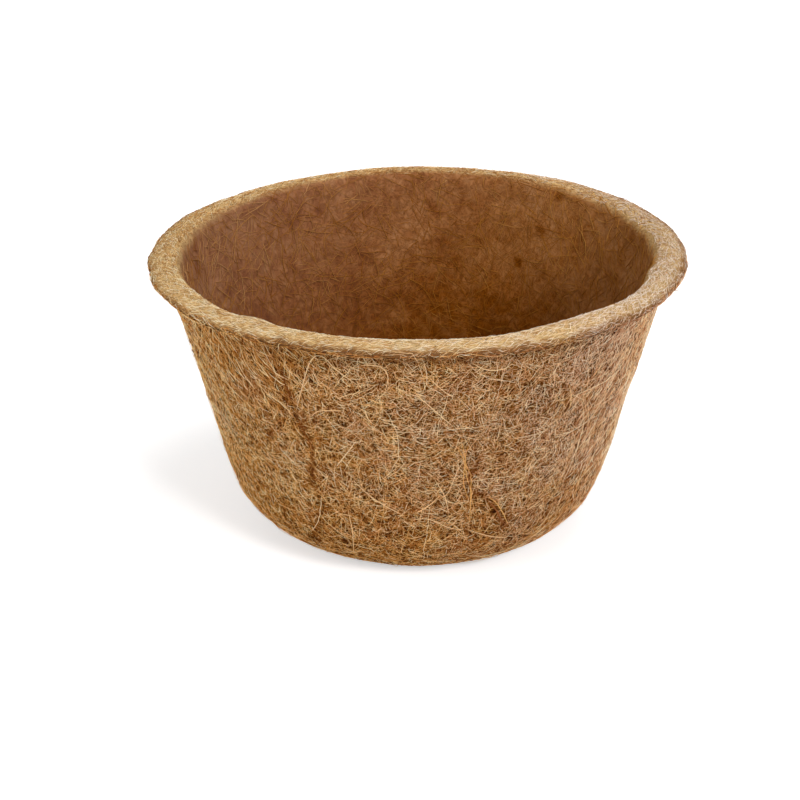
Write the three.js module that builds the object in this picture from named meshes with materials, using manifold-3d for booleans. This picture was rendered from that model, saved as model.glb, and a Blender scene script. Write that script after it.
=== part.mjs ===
// Coir pot: a pressed bowl of latex-bonded coconut fibre felt with a turned-out lip.
// Two plies of six gores each, the inner ply turned half a gore so that no two seams meet.
// A disc closes each ply in the middle of the base.
// Millimetres, +Z up, origin at the centre of the base, front towards -Y.
import * as THREE from "three";
import { mergeVertices } from "three/addons/utils/BufferGeometryUtils.js";
import Module from "manifold-3d";

// Overall sizes
const rimDiameter = 150;
const potHeight = 82.5;
const baseFlatDiameter = 60;
const heelRadius = 25.5;

// Lip
const lipOverhang = 3.4; // from the outer wall's line, carried up to the top, to the lip's edge
const lipDrop = 1.2; // fall of the lip's top from its crest to its edge
const lipEdgeThickness = 2.6;
const lipEdgeRadius = 0.8;
const lipRootRadius = 1.5; // bend under the lip
const crestRadius = 4.5; // bend over the top of the inner wall

// Felt
const outerFelt = 2.1;
const innerFelt = 2.1;
const bondGap = 0.3; // latex bond line between neighbouring pieces of felt
const goreCount = 6;
const outerTurnIn = 8; // how far an outer gore runs in under the flat of the base
const innerTurnIn = 14; // how far an inner gore runs in over the flat of the base

// Facets
const turnSteps = 48;
const heelSteps = 6;
const bendSteps = 3;
const edgeSteps = 2;
const mergeDistance = 1e-4;
const mostEdgeShare = 0.8; // the edge's round takes at most this share of one ply

// Finish of each kind of felt
const outerFinish = { color: 0x9a724c, roughness: 0.95, metalness: 0 };
const innerFinish = { color: 0x80552f, roughness: 0.97, metalness: 0 };
const baseFinish = { color: 0x8f663f, roughness: 0.96, metalness: 0 };

// Places that follow from the sizes
const rimRadius = rimDiameter / 2;
const flatRadius = baseFlatDiameter / 2;
const lipPly = (lipEdgeThickness - bondGap) / 2;
const lipTop = potHeight - lipDrop;
const lipUnderside = lipTop - lipEdgeThickness;
const lipBondLow = lipUnderside + lipPly;
const lipBondHigh = lipBondLow + bondGap;
const edgeRound = Math.min(lipEdgeRadius, mostEdgeShare * lipPly);
const innerPlyDepth = outerFelt + bondGap;
const wallThickness = innerPlyDepth + innerFelt;
const outerGoreStart = flatRadius - outerTurnIn;
const innerGoreStart = flatRadius - innerTurnIn;

// The wall is the tangent from the heel's round to a point level with the top.
const heelCentre = new THREE.Vector2(flatRadius, heelRadius);
const wallTop = new THREE.Vector2(rimRadius - lipOverhang, potHeight);
const reach = wallTop.clone().sub(heelCentre);
const wallLean = reach.angle() - Math.acos(heelRadius / reach.length());
const wallOutward = new THREE.Vector2(Math.cos(wallLean), Math.sin(wallLean));
const wallUpward = new THREE.Vector2(-wallOutward.y, wallOutward.x);

function point(radius, height) {
  return new THREE.Vector2(radius, height);
}

// Points of a round in the profile's plane.
function round(centre, radius, fromAngle, toAngle, clockwise, steps) {
  const curve = new THREE.EllipseCurve(centre.x, centre.y, radius, radius, fromAngle, toAngle, clockwise);
  return curve.getPoints(steps);
}

// One face of the felt, at a depth under the outer face: heel, wall and bend, up to the lip's height.
function feltFace(depth, bendRadius, lipHeight) {
  const heel = round(heelCentre, heelRadius - depth, -Math.PI / 2, wallLean, false, heelSteps);
  const bendCentre = heelCentre.clone().addScaledVector(wallOutward, heelRadius - depth + bendRadius);
  const rise = (lipHeight - bendRadius - bendCentre.y) / wallUpward.y;
  bendCentre.addScaledVector(wallUpward, rise);
  const bend = round(bendCentre, bendRadius, wallLean + Math.PI, Math.PI / 2, true, bendSteps);
  return [...heel, ...bend];
}

function outerGoreProfile() {
  const edgeCentre = point(rimRadius - edgeRound, lipUnderside + edgeRound);
  return [
    point(outerGoreStart, 0),
    ...feltFace(0, lipRootRadius, lipUnderside),
    ...round(edgeCentre, edgeRound, -Math.PI / 2, 0, false, edgeSteps),
    point(rimRadius, lipBondLow),
    ...feltFace(outerFelt, lipRootRadius + lipPly, lipBondLow).reverse(),
    point(outerGoreStart, outerFelt),
    point(outerGoreStart, 0),
  ];
}

function innerGoreProfile() {
  const edgeCentre = point(rimRadius - edgeRound, lipTop - edgeRound);
  return [
    point(innerGoreStart, innerPlyDepth),
    ...feltFace(innerPlyDepth, lipRootRadius + lipPly + bondGap, lipBondHigh),
    point(rimRadius, lipBondHigh),
    ...round(edgeCentre, edgeRound, 0, Math.PI / 2, false, edgeSteps),
    ...feltFace(wallThickness, crestRadius, potHeight).reverse(),
    point(innerGoreStart, wallThickness),
    point(innerGoreStart, innerPlyDepth),
  ];
}

// A disc that fills the ring of turned-in gores, one bond line clear of it.
function discProfile(goreStart, low, high) {
  const radius = goreStart - bondGap;
  return [point(0, low), point(radius, low), point(radius, high), point(0, high)];
}

// A turned shape about +Z, whose first step lies towards the front.
function turned(profile) {
  return new THREE.LatheGeometry(profile, turnSteps).rotateX(Math.PI / 2);
}

// A tall wedge about the axis, half a bond line inside each of the two seams beside it.
function goreWedge(middle) {
  const halfAngle = Math.PI / goreCount;
  const apex = new THREE.Vector2(Math.cos(middle), Math.sin(middle));
  apex.multiplyScalar(bondGap / 2 / Math.sin(halfAngle));
  const sideLength = rimDiameter / Math.cos(halfAngle);
  const corners = [-halfAngle, halfAngle].map((turn) => {
    const along = new THREE.Vector2(Math.cos(middle + turn), Math.sin(middle + turn));
    return apex.clone().addScaledVector(along, sideLength);
  });
  const height = 2 * potHeight;
  const wedge = new THREE.ExtrudeGeometry(new THREE.Shape([apex, ...corners]), {
    depth: height,
    bevelEnabled: false,
  });
  return wedge.translate(0, 0, -height / 4);
}

const wasm = await Module();
wasm.setup();

function solidOf(geometry) {
  geometry.deleteAttribute("normal");
  geometry.deleteAttribute("uv");
  const merged = mergeVertices(geometry, mergeDistance);
  const vertProperties = new Float32Array(merged.attributes.position.array);
  const triVerts = new Uint32Array(merged.index.array);
  return new wasm.Manifold(new wasm.Mesh({ numProp: 3, vertProperties, triVerts }));
}

function geometryOf(solid) {
  const mesh = solid.getMesh();
  const geometry = new THREE.BufferGeometry();
  geometry.setAttribute("position", new THREE.BufferAttribute(mesh.vertProperties, 3));
  geometry.setIndex(new THREE.BufferAttribute(mesh.triVerts, 1));
  geometry.computeVertexNormals();
  return geometry;
}

function piece(name, geometry, finish) {
  const mesh = new THREE.Mesh(geometry, new THREE.MeshStandardMaterial(finish));
  mesh.name = name;
  return mesh;
}

const pot = new THREE.Group();
pot.name = "coir_pot";

// One ply's gores, counted from the front towards +X and turned by a share of a gore
function addGores(name, profile, shift, finish) {
  const ring = solidOf(turned(profile));
  for (let index = 0; index < goreCount; index += 1) {
    const middle = -Math.PI / 2 + (2 * Math.PI * (index + shift)) / goreCount;
    const gore = ring.intersect(solidOf(goreWedge(middle)));
    pot.add(piece(`${name}_${index + 1}`, geometryOf(gore), finish));
  }
}

addGores("outer_gore", outerGoreProfile(), 0, outerFinish);
pot.add(piece("base_disc", turned(discProfile(outerGoreStart, 0, outerFelt)), baseFinish));

addGores("inner_gore", innerGoreProfile(), 1 / 2, innerFinish);
const floorDisc = discProfile(innerGoreStart, innerPlyDepth, wallThickness);
pot.add(piece("floor_disc", turned(floorDisc), innerFinish));

export default pot;
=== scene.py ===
"""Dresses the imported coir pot: felt gores, the mat of coir strands over them and a plain studio.

Metres, +Z up, origin at the centre of the base, front towards -Y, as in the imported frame.
"""
import logging
import math
from collections.abc import Callable, Sequence
from dataclasses import dataclass, fields
from enum import Enum
from functools import reduce

import bmesh
import bpy
import numpy as np
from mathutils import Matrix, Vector
from mathutils.bvhtree import BVHTree


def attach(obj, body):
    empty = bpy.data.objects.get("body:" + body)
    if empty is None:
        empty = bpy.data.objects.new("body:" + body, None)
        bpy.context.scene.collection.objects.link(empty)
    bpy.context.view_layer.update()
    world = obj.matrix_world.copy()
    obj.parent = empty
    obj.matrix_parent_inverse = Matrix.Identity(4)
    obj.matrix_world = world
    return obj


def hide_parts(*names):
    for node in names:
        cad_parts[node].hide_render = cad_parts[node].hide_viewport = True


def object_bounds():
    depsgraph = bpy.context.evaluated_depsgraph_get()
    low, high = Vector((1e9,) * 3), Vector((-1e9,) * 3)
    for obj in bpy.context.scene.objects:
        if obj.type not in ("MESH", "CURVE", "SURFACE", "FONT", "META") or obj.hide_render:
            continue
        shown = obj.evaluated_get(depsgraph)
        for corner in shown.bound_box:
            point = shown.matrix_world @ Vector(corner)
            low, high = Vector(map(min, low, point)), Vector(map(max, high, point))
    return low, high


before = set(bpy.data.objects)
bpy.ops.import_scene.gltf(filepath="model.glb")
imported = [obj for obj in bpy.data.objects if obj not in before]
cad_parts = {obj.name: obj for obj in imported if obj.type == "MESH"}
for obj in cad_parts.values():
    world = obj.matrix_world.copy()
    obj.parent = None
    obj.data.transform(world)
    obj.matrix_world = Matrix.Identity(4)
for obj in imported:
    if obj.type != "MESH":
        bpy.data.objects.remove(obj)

LOG = logging.getLogger("coir_pot")
CAD_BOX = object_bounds()
BODY = "root"
MM = 0.001
FULL_TURN = 2 * math.pi
PHOTO_SIDE = 800

Colour = tuple[float, float, float]
Place = tuple[float, float, float]
Pixel = tuple[float, float]
Span = tuple[float, float]
Faces = list[tuple[int, ...]]

# The map that the strands' tone and hue are kept on
BAKE_MAP = "OFBake"
MAP_SPAN = 0.95
MAP_MARGIN = 0.02
MAP_STEP = 0.006

# What a strand's points carry only while it is being laid
SCRATCH_ATTRIBUTES = {
    "root", "heading", "side", "reach", "bow", "sway", "lift", "girth", "phase", "loose", "knot",
    "lie", "comb", "cover", "warmth", "bright", "coarse",
}


class Slot(Enum):
    """The record's material slots."""

    OUTER = "coir_outer"
    INNER = "coir_inner"
    BASE = "coir_base"


class Side(Enum):
    """The sides of the pot, which are shaded each in its own way."""

    OUTSIDE = "outside"
    LIP = "lip"
    INSIDE = "inside"


class Draw(Enum):
    """The numbers that are drawn for each strand, each with its own offset from the seed."""

    TURN = 1
    LAYER = 2
    TONE = 3
    HUE = 4
    BOW = 5
    REACH = 6
    SWAY = 7
    GIRTH = 8
    PHASE = 9
    LOOSE = 10
    PIT = 11


# Node trees


class Wire:
    """One socket of a node tree, with the arithmetic that adds its own nodes."""

    def __init__(self, tree: "Tree", socket: bpy.types.NodeSocket) -> None:
        """Hold the tree and the socket."""
        self.tree = tree
        self.socket = socket

    def _joined(self, operation: str, first: "Wire | float", second: "Wire | float") -> "Wire":
        """Add the node for an operation on two values or two vectors, or for a vector times a value.

        Args:
            operation: The name that Math and Vector Math share.
            first: The left operand.
            second: The right operand.

        Returns:
            The result.
        """
        wires = [side for side in (first, second) if isinstance(side, Wire)]
        vectors = [wire for wire in wires if wire.socket.type == "VECTOR"]
        if not vectors:
            return self.tree.maths(operation, first, second)
        if len(vectors) == 2:
            return self.tree.vector_maths(operation, first, second)
        factor = second if vectors[0] is first else first
        sockets = {"Vector": vectors[0], "Scale": factor}
        return self.tree.make("ShaderNodeVectorMath", {"operation": "SCALE"}, sockets).first

    def __add__(self, other: "Wire | float") -> "Wire":
        """This plus other."""
        return self._joined("ADD", self, other)

    def __radd__(self, other: float) -> "Wire":
        """Other plus this."""
        return self._joined("ADD", other, self)

    def __sub__(self, other: "Wire | float") -> "Wire":
        """This minus other."""
        return self._joined("SUBTRACT", self, other)

    def __rsub__(self, other: float) -> "Wire":
        """Other minus this."""
        return self._joined("SUBTRACT", other, self)

    def __mul__(self, other: "Wire | float") -> "Wire":
        """This times other."""
        return self._joined("MULTIPLY", self, other)

    def __rmul__(self, other: float) -> "Wire":
        """Other times this."""
        return self._joined("MULTIPLY", other, self)

    def __truediv__(self, other: "Wire | float") -> "Wire":
        """This over other."""
        return self._joined("DIVIDE", self, other)

    def __pow__(self, other: float) -> "Wire":
        """This to a power."""
        return self._joined("POWER", self, other)

    def __mod__(self, other: float) -> "Wire":
        """What is left of this after whole steps of other."""
        return self._joined("MODULO", self, other)

    def __abs__(self) -> "Wire":
        """This without its sign."""
        return self.tree.maths("ABSOLUTE", self)

    def larger(self, other: "Wire") -> "Wire":
        """The larger of this and other."""
        return self.tree.maths("MAXIMUM", self, other)

    def cross(self, other: "Wire") -> "Wire":
        """The cross product of this and other."""
        return self.tree.vector_maths("CROSS_PRODUCT", self, other)

    def offset(self, by: Place) -> "Wire":
        """This vector or colour, as a vector, plus a fixed one."""
        return self.tree.vector_maths("ADD", self, by)

    def unit(self) -> "Wire":
        """This vector at length 1."""
        return self.tree.vector_maths("NORMALIZE", self)

    def between(self, low: float, high: float, to_low: float = 0.0, to_high: float = 1.0) -> "Wire":
        """This value carried smoothly from one range to another.

        Args:
            low: Where the range begins.
            high: Where it ends.
            to_low: The result at and before low.
            to_high: The result at and after high.

        Returns:
            The value in its new range.
        """
        sockets = {"Value": self, "From Min": low, "From Max": high, "To Min": to_low, "To Max": to_high}
        return self.tree.make("ShaderNodeMapRange", {"interpolation_type": "SMOOTHSTEP"}, sockets).first

    def held(self) -> "Wire":
        """This value kept from 0 to 1."""
        return self.tree.make("ShaderNodeClamp", {}, {"Value": self}).first


class Made:
    """A node that a tree has made, whose outputs are read by name."""

    def __init__(self, tree: "Tree", node: bpy.types.Node) -> None:
        """Hold the tree and the node."""
        self.tree = tree
        self.node = node

    def __getitem__(self, name: str) -> Wire:
        """The output in use with this name."""
        return Wire(self.tree, next(s for s in self.node.outputs if s.name == name and s.enabled))

    @property
    def first(self) -> Wire:
        """The first output in use."""
        return Wire(self.tree, next(s for s in self.node.outputs if s.enabled))


class Tree:
    """A node tree that is built by calls."""

    def __init__(self, tree: bpy.types.NodeTree) -> None:
        """Hold the tree, emptied."""
        self.tree = tree
        self.tree.nodes.clear()

    def make(self, kind: str, settings: dict | None = None, sockets: dict | None = None) -> Made:
        """Add any node.

        Args:
            kind: The node's type.
            settings: Its settings, which are set first. A ramp takes its stops as a list of place and colour.
            sockets: Values or wires, by the name or number of the input.

        Returns:
            The node.
        """
        node = self.tree.nodes.new(kind)
        for name, value in (settings or {}).items():
            if name == "stops":
                self._set_stops(node, value)
            else:
                setattr(node, name, value)
        for name, value in (sockets or {}).items():
            socket = self._input(node, name)
            if isinstance(value, Wire):
                self.tree.links.new(value.socket, socket)
            else:
                socket.default_value = value
        return Made(self, node)

    @staticmethod
    def _input(node: bpy.types.Node, name: str | int) -> bpy.types.NodeSocket:
        """A node's input in use, by its name or its number."""
        if isinstance(name, int):
            return node.inputs[name]
        return next(s for s in node.inputs if s.name == name and s.enabled)

    @staticmethod
    def _set_stops(node: bpy.types.Node, stops: Sequence[tuple[float, Colour]]) -> None:
        """Give a colour ramp its stops.

        Args:
            node: The ramp.
            stops: Each stop's place and colour, in order.
        """
        elements = node.color_ramp.elements
        while len(elements) < len(stops):
            elements.new(1.0)
        for element, (place, colour) in zip(elements, stops):
            element.position = place
            element.color = (*colour, 1.0)

    def maths(self, operation: str, *operands: Wire | float) -> Wire:
        """A Math node's result."""
        return self.make("ShaderNodeMath", {"operation": operation}, dict(enumerate(operands))).first

    def vector_maths(self, operation: str, *operands: Wire | Place) -> Wire:
        """A Vector Math node's result."""
        return self.make("ShaderNodeVectorMath", {"operation": operation}, dict(enumerate(operands))).first

    def vector(self, x: Wire | float = 0.0, y: Wire | float = 0.0, z: Wire | float = 0.0) -> Wire:
        """A vector from three values."""
        return self.make("ShaderNodeCombineXYZ", {}, {"X": x, "Y": y, "Z": z}).first

    def parts(self, vector: Wire) -> Made:
        """A vector's X, Y and Z."""
        return self.make("ShaderNodeSeparateXYZ", {}, {"Vector": vector})

    def noise(self, place: Wire, size: float, detail: float, output: str = "Fac") -> Wire:
        """Soft random patches.

        Args:
            place: Where they are read.
            size: How large they are.
            detail: How many finer layers they have.
            output: Fac for one value, Color for three.

        Returns:
            Values about 0.5.
        """
        sockets = {"Vector": place, "Scale": 1 / size, "Detail": detail}
        return self.make("ShaderNodeTexNoise", {}, sockets)[output]


class ShaderTree(Tree):
    """The node tree of a material or of the sky."""

    def attribute(self, name: str, output: str = "Fac") -> Wire:
        """What the piece's vertices carry under a name."""
        return self.make("ShaderNodeAttribute", {"attribute_name": name})[output]

    def ramp(self, tone: Wire, stops: Sequence[tuple[float, Colour]]) -> Wire:
        """The colour of a tone, from stops of place and colour."""
        return self.make("ShaderNodeValToRGB", {"stops": stops}, {"Fac": tone})["Color"]

    def blend(self, share: Wire, first: Wire | Colour, second: Wire | Colour) -> Wire:
        """Two colours mixed.

        Args:
            share: How much of the second shows.
            first: The first colour.
            second: The second colour.

        Returns:
            The mixed colour.
        """
        full = [(*colour, 1.0) if isinstance(colour, tuple) else colour for colour in (first, second)]
        sockets = {"Factor": share, "A": full[0], "B": full[1]}
        return self.make("ShaderNodeMix", {"data_type": "RGBA", "blend_type": "MIX"}, sockets)["Result"]

    def seen(self) -> Wire:
        """1 where a thing is looked at, straight or by reflection, and 0 where it only gives light."""
        path = self.make("ShaderNodeLightPath")
        return path["Is Camera Ray"].larger(path["Is Glossy Ray"]).larger(path["Is Transmission Ray"])

    def surface(self, sockets: dict) -> None:
        """End a material in a principled shader with these inputs."""
        shader = self.make("ShaderNodeBsdfPrincipled", {}, sockets)["BSDF"]
        self.make("ShaderNodeOutputMaterial", {}, {"Surface": shader})


class GeometryTree(Tree):
    """A Geometry Nodes tree with named inputs."""

    SOCKET_KINDS = {float: "Float", int: "Int", bpy.types.Object: "Object", bpy.types.Material: "Material"}

    def __init__(self, name: str, inputs: dict[str, type]) -> None:
        """Make the tree and its sockets.

        Args:
            name: The tree's name.
            inputs: The kind of each input after the geometry.
        """
        super().__init__(bpy.data.node_groups.new(name, "GeometryNodeTree"))
        face = self.tree.interface
        face.new_socket("Geometry", in_out="INPUT", socket_type="NodeSocketGeometry")
        self.identifiers = {}
        for label, kind in inputs.items():
            socket_type = "NodeSocket" + self.SOCKET_KINDS[kind]
            socket = face.new_socket(label, in_out="INPUT", socket_type=socket_type)
            self.identifiers[label] = socket.identifier
        face.new_socket("Geometry", in_out="OUTPUT", socket_type="NodeSocketGeometry")
        self.entry = self.make("NodeGroupInput")

    def named(self, name: str, data_type: str = "FLOAT") -> Wire:
        """An attribute by its name."""
        settings = {"data_type": data_type}
        return self.make("GeometryNodeInputNamedAttribute", settings, {"Name": name})["Attribute"]

    def stored(
        self, geometry: Wire, name: str, value: Wire, data_type: str = "FLOAT", domain: str = "POINT"
    ) -> Wire:
        """Keep a value on the geometry.

        Args:
            geometry: What carries it.
            name: The attribute's name.
            value: The value.
            data_type: The attribute's type.
            domain: Where it lies.

        Returns:
            The geometry with the attribute.
        """
        settings = {"data_type": data_type, "domain": domain}
        sockets = {"Geometry": geometry, "Name": name, "Value": value}
        return self.make("GeometryNodeStoreNamedAttribute", settings, sockets).first

    def nearest(self, mesh: Wire, value: Wire, place: Wire, data_type: str) -> Wire:
        """A mesh's value at the point that is nearest to a place.

        Args:
            mesh: The mesh.
            value: What is read there.
            place: The place.
            data_type: The value's type.

        Returns:
            The value.
        """
        sockets = {"Mesh": mesh, "Value": value, "Sample Position": place}
        return self.make("GeometryNodeSampleNearestSurface", {"data_type": data_type}, sockets)["Value"]

    def tubes(self, curves: Wire, material: Wire, sides: int) -> None:
        """End the tree: turn curves with girth, tone and hue into closed tubes of one material.

        Args:
            curves: The strands' centre lines.
            material: What they are made of.
            sides: How many sides a tube has.
        """
        ring_sockets = {"Resolution": sides, "Radius": 1.0}
        ring = self.make("GeometryNodeCurvePrimitiveCircle", {}, ring_sockets)["Curve"]
        sockets = {"Curve": curves, "Profile Curve": ring, "Scale": self.named("girth"), "Fill Caps": True}
        tube = self.make("GeometryNodeCurveToMesh", {}, sockets)["Mesh"]
        tube = self.stored(tube, "knot", self.make("GeometryNodeInputIndex").first)
        knot = self.named("knot")
        along = self.maths("FLOOR", knot / sides) % 2.0
        across = knot % float(sides)
        u = self.named("tone") * MAP_SPAN + MAP_MARGIN + along * MAP_STEP
        v = self.named("hue") * MAP_SPAN + MAP_MARGIN + across * (MAP_STEP / 2)
        tube = self.stored(tube, BAKE_MAP, self.vector(u, v), "FLOAT2", "CORNER")
        smooth = self.make("GeometryNodeSetShadeSmooth", {}, {"Geometry": tube})["Geometry"]
        solid = self.make("GeometryNodeRealizeInstances", {}, {"Geometry": smooth})["Geometry"]
        dressed = self.make("GeometryNodeSetMaterial", {}, {"Geometry": solid, "Material": material})
        self.make("NodeGroupOutput", {}, {"Geometry": dressed["Geometry"]})

    def grown(self, piece: bpy.types.Object, values: dict) -> bpy.types.Object:
        """Run the tree on a piece and leave its result there as a plain mesh.

        Args:
            piece: The object that the tree starts from.
            values: The tree's inputs by name.

        Returns:
            The same object with its new mesh.
        """
        modifier = piece.modifiers.new("strands", "NODES")
        modifier.node_group = self.tree
        for label, value in values.items():
            modifier[self.identifiers[label]] = value
        depsgraph = bpy.context.evaluated_depsgraph_get()
        mesh = bpy.data.meshes.new_from_object(piece.evaluated_get(depsgraph), depsgraph=depsgraph)
        piece.modifiers.clear()
        piece.data = mesh
        mesh.name = piece.name
        for name in [a.name for a in mesh.attributes if a.name in SCRATCH_ATTRIBUTES]:
            mesh.attributes.remove(mesh.attributes[name])
        return piece


# Helpers for shapes


def smooth_step(low: float, high: float, values: np.ndarray) -> np.ndarray:
    """A share that rises smoothly from 0 at low to 1 at high."""
    share = np.clip((values - low) / (high - low), 0.0, 1.0)
    return share * share * (3 - 2 * share)


def bell(gap: np.ndarray, width: float) -> np.ndarray:
    """A share that is 1 where there is no gap and falls to almost nothing two widths away."""
    return np.exp(-((gap / width) ** 2))


def azimuth_of(points: np.ndarray) -> np.ndarray:
    """Each point's angle from the front towards +X, in degrees."""
    return np.degrees(np.arctan2(points[..., 0], -points[..., 1]))


def degrees_from(middle: float, azimuth: np.ndarray) -> np.ndarray:
    """How far round each azimuth lies from a middle one, from -180 to 180 degrees."""
    return (azimuth - middle + 180.0) % 360.0 - 180.0


def distance_to(line: np.ndarray, points: np.ndarray) -> np.ndarray:
    """How far each point lies from a line of close points."""
    flat = points.reshape(-1, 3)
    least = np.full(len(flat), np.inf)
    for place in line:
        least = np.minimum(least, ((flat - place) ** 2).sum(axis=1))
    return np.sqrt(least).reshape(points.shape[:-1])


def evenly(path: np.ndarray, count: int) -> np.ndarray:
    """Points at equal steps along a path.

    Args:
        path: The path's corners.
        count: How many points to give.

    Returns:
        The new points, one a row.
    """
    steps = np.linalg.norm(np.diff(path, axis=0), axis=1)
    along = np.concatenate(([0.0], np.cumsum(steps)))
    wanted = np.linspace(0.0, along[-1], count)
    return np.stack([np.interp(wanted, along, column) for column in path.T], axis=1)


def length_of(path: np.ndarray) -> float:
    """How long a path is."""
    return float(np.linalg.norm(np.diff(path, axis=0), axis=1).sum())


def turned(path: np.ndarray, azimuths: np.ndarray) -> np.ndarray:
    """A profile turned about the axis.

    Args:
        path: Radius and height of its points.
        azimuths: Angles from the front towards +X.

    Returns:
        Points by azimuth and by place along the profile.
    """
    radius = path[None, :, 0]
    x = radius * np.sin(azimuths)[:, None]
    y = -radius * np.cos(azimuths)[:, None]
    z = np.broadcast_to(path[None, :, 1], x.shape)
    return np.stack((x, y, z), axis=-1)


def grid_faces(rows: int, columns: int, first: int = 0, closed: bool = False) -> Faces:
    """Quads of a grid of vertices.

    Args:
        rows: How many rows the grid has.
        columns: How many vertices are in a row.
        first: The number of its first vertex.
        closed: Whether the last row joins the first.

    Returns:
        The quads.
    """
    faces = []
    for row in range(rows if closed else rows - 1):
        here = first + row * columns
        there = first + (row + 1) % rows * columns
        faces += [(here + c, there + c, there + c + 1, here + c + 1) for c in range(columns - 1)]
    return faces


def mesh_object(
    name: str, points: np.ndarray, faces: Faces, edges: Sequence[tuple[int, int]] = ()
) -> bpy.types.Object:
    """A mesh object at the origin.

    Args:
        name: The object's name.
        points: Its vertices, one a row.
        faces: Its faces.
        edges: Its edges that belong to no face.

    Returns:
        The object, linked to the scene.
    """
    mesh = bpy.data.meshes.new(name)
    mesh.from_pydata(points.tolist(), edges, faces)
    piece = bpy.data.objects.new(name, mesh)
    bpy.context.scene.collection.objects.link(piece)
    return piece


def set_attribute(piece: bpy.types.Object, name: str, values: np.ndarray) -> None:
    """Keep a number or a vector on each vertex.

    Args:
        piece: The mesh object.
        name: The attribute's name.
        values: One value or one row a vertex.
    """
    is_vector = values.ndim == 2
    attribute = piece.data.attributes.new(name, "FLOAT_VECTOR" if is_vector else "FLOAT", "POINT")
    attribute.data.foreach_set("vector" if is_vector else "value", values.astype(np.float32).ravel())


def settle(piece: bpy.types.Object, slot: Slot, *nodes: str) -> None:
    """Put a finished piece on the pot's body and report it.

    Args:
        piece: The piece.
        slot: The record's slot that it belongs to, which is only named in the log.
        nodes: The solids that it stands for.
    """
    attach(piece, BODY)
    if nodes:
        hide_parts(*nodes)
    triangles = sum(len(face.vertices) - 2 for face in piece.data.polygons)
    LOG.info("%s: %d triangles, %s", piece.name, triangles, slot.value)


# The pot's shape


@dataclass(frozen=True)
class PotSizes:
    """The pot's sizes, which are those of its solids."""

    rim_radius: float
    height: float
    flat_radius: float = 30 * MM
    heel_radius: float = 25.5 * MM
    lip_overhang: float = 3.4 * MM
    lip_drop: float = 1.2 * MM
    lip_edge: float = 2.6 * MM
    lip_edge_round: float = 0.8 * MM
    lip_root_bend: float = 1.5 * MM
    crest_bend: float = 4.5 * MM
    felt: float = 2.1 * MM
    bond: float = 0.3 * MM
    gore_count: int = 6
    outer_turn_in: float = 8 * MM
    inner_turn_in: float = 14 * MM

    @property
    def wall(self) -> float:
        """Thickness of both plies and the bond between them."""
        return 2 * self.felt + self.bond

    @property
    def lip_top(self) -> float:
        """Height of the lip's top at its edge."""
        return self.height - self.lip_drop

    @property
    def lip_middle(self) -> float:
        """Height of the line where the two plies meet at the lip's edge."""
        return self.lip_top - self.lip_edge / 2

    @property
    def outer_start(self) -> float:
        """Radius at which an outer gore begins under the base."""
        return self.flat_radius - self.outer_turn_in

    @property
    def inner_start(self) -> float:
        """Radius at which an inner gore begins on the floor."""
        return self.flat_radius - self.inner_turn_in

    def near_top(self, depths: Span, height: np.ndarray) -> np.ndarray:
        """A share that rises from 0 to 1 between two depths under the top."""
        return smooth_step(self.height - depths[0], self.height - depths[1], height)

    def near_rim(self, insets: Span, radius: np.ndarray) -> np.ndarray:
        """A share that rises from 0 to 1 between two distances in from the rim."""
        return smooth_step(self.rim_radius - insets[0], self.rim_radius - insets[1], radius)

    def upwards(self, levels: Span, height: np.ndarray) -> np.ndarray:
        """A share that rises from 0 to 1 between two shares of the pot's height."""
        return smooth_step(levels[0] * self.height, levels[1] * self.height, height)


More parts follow.
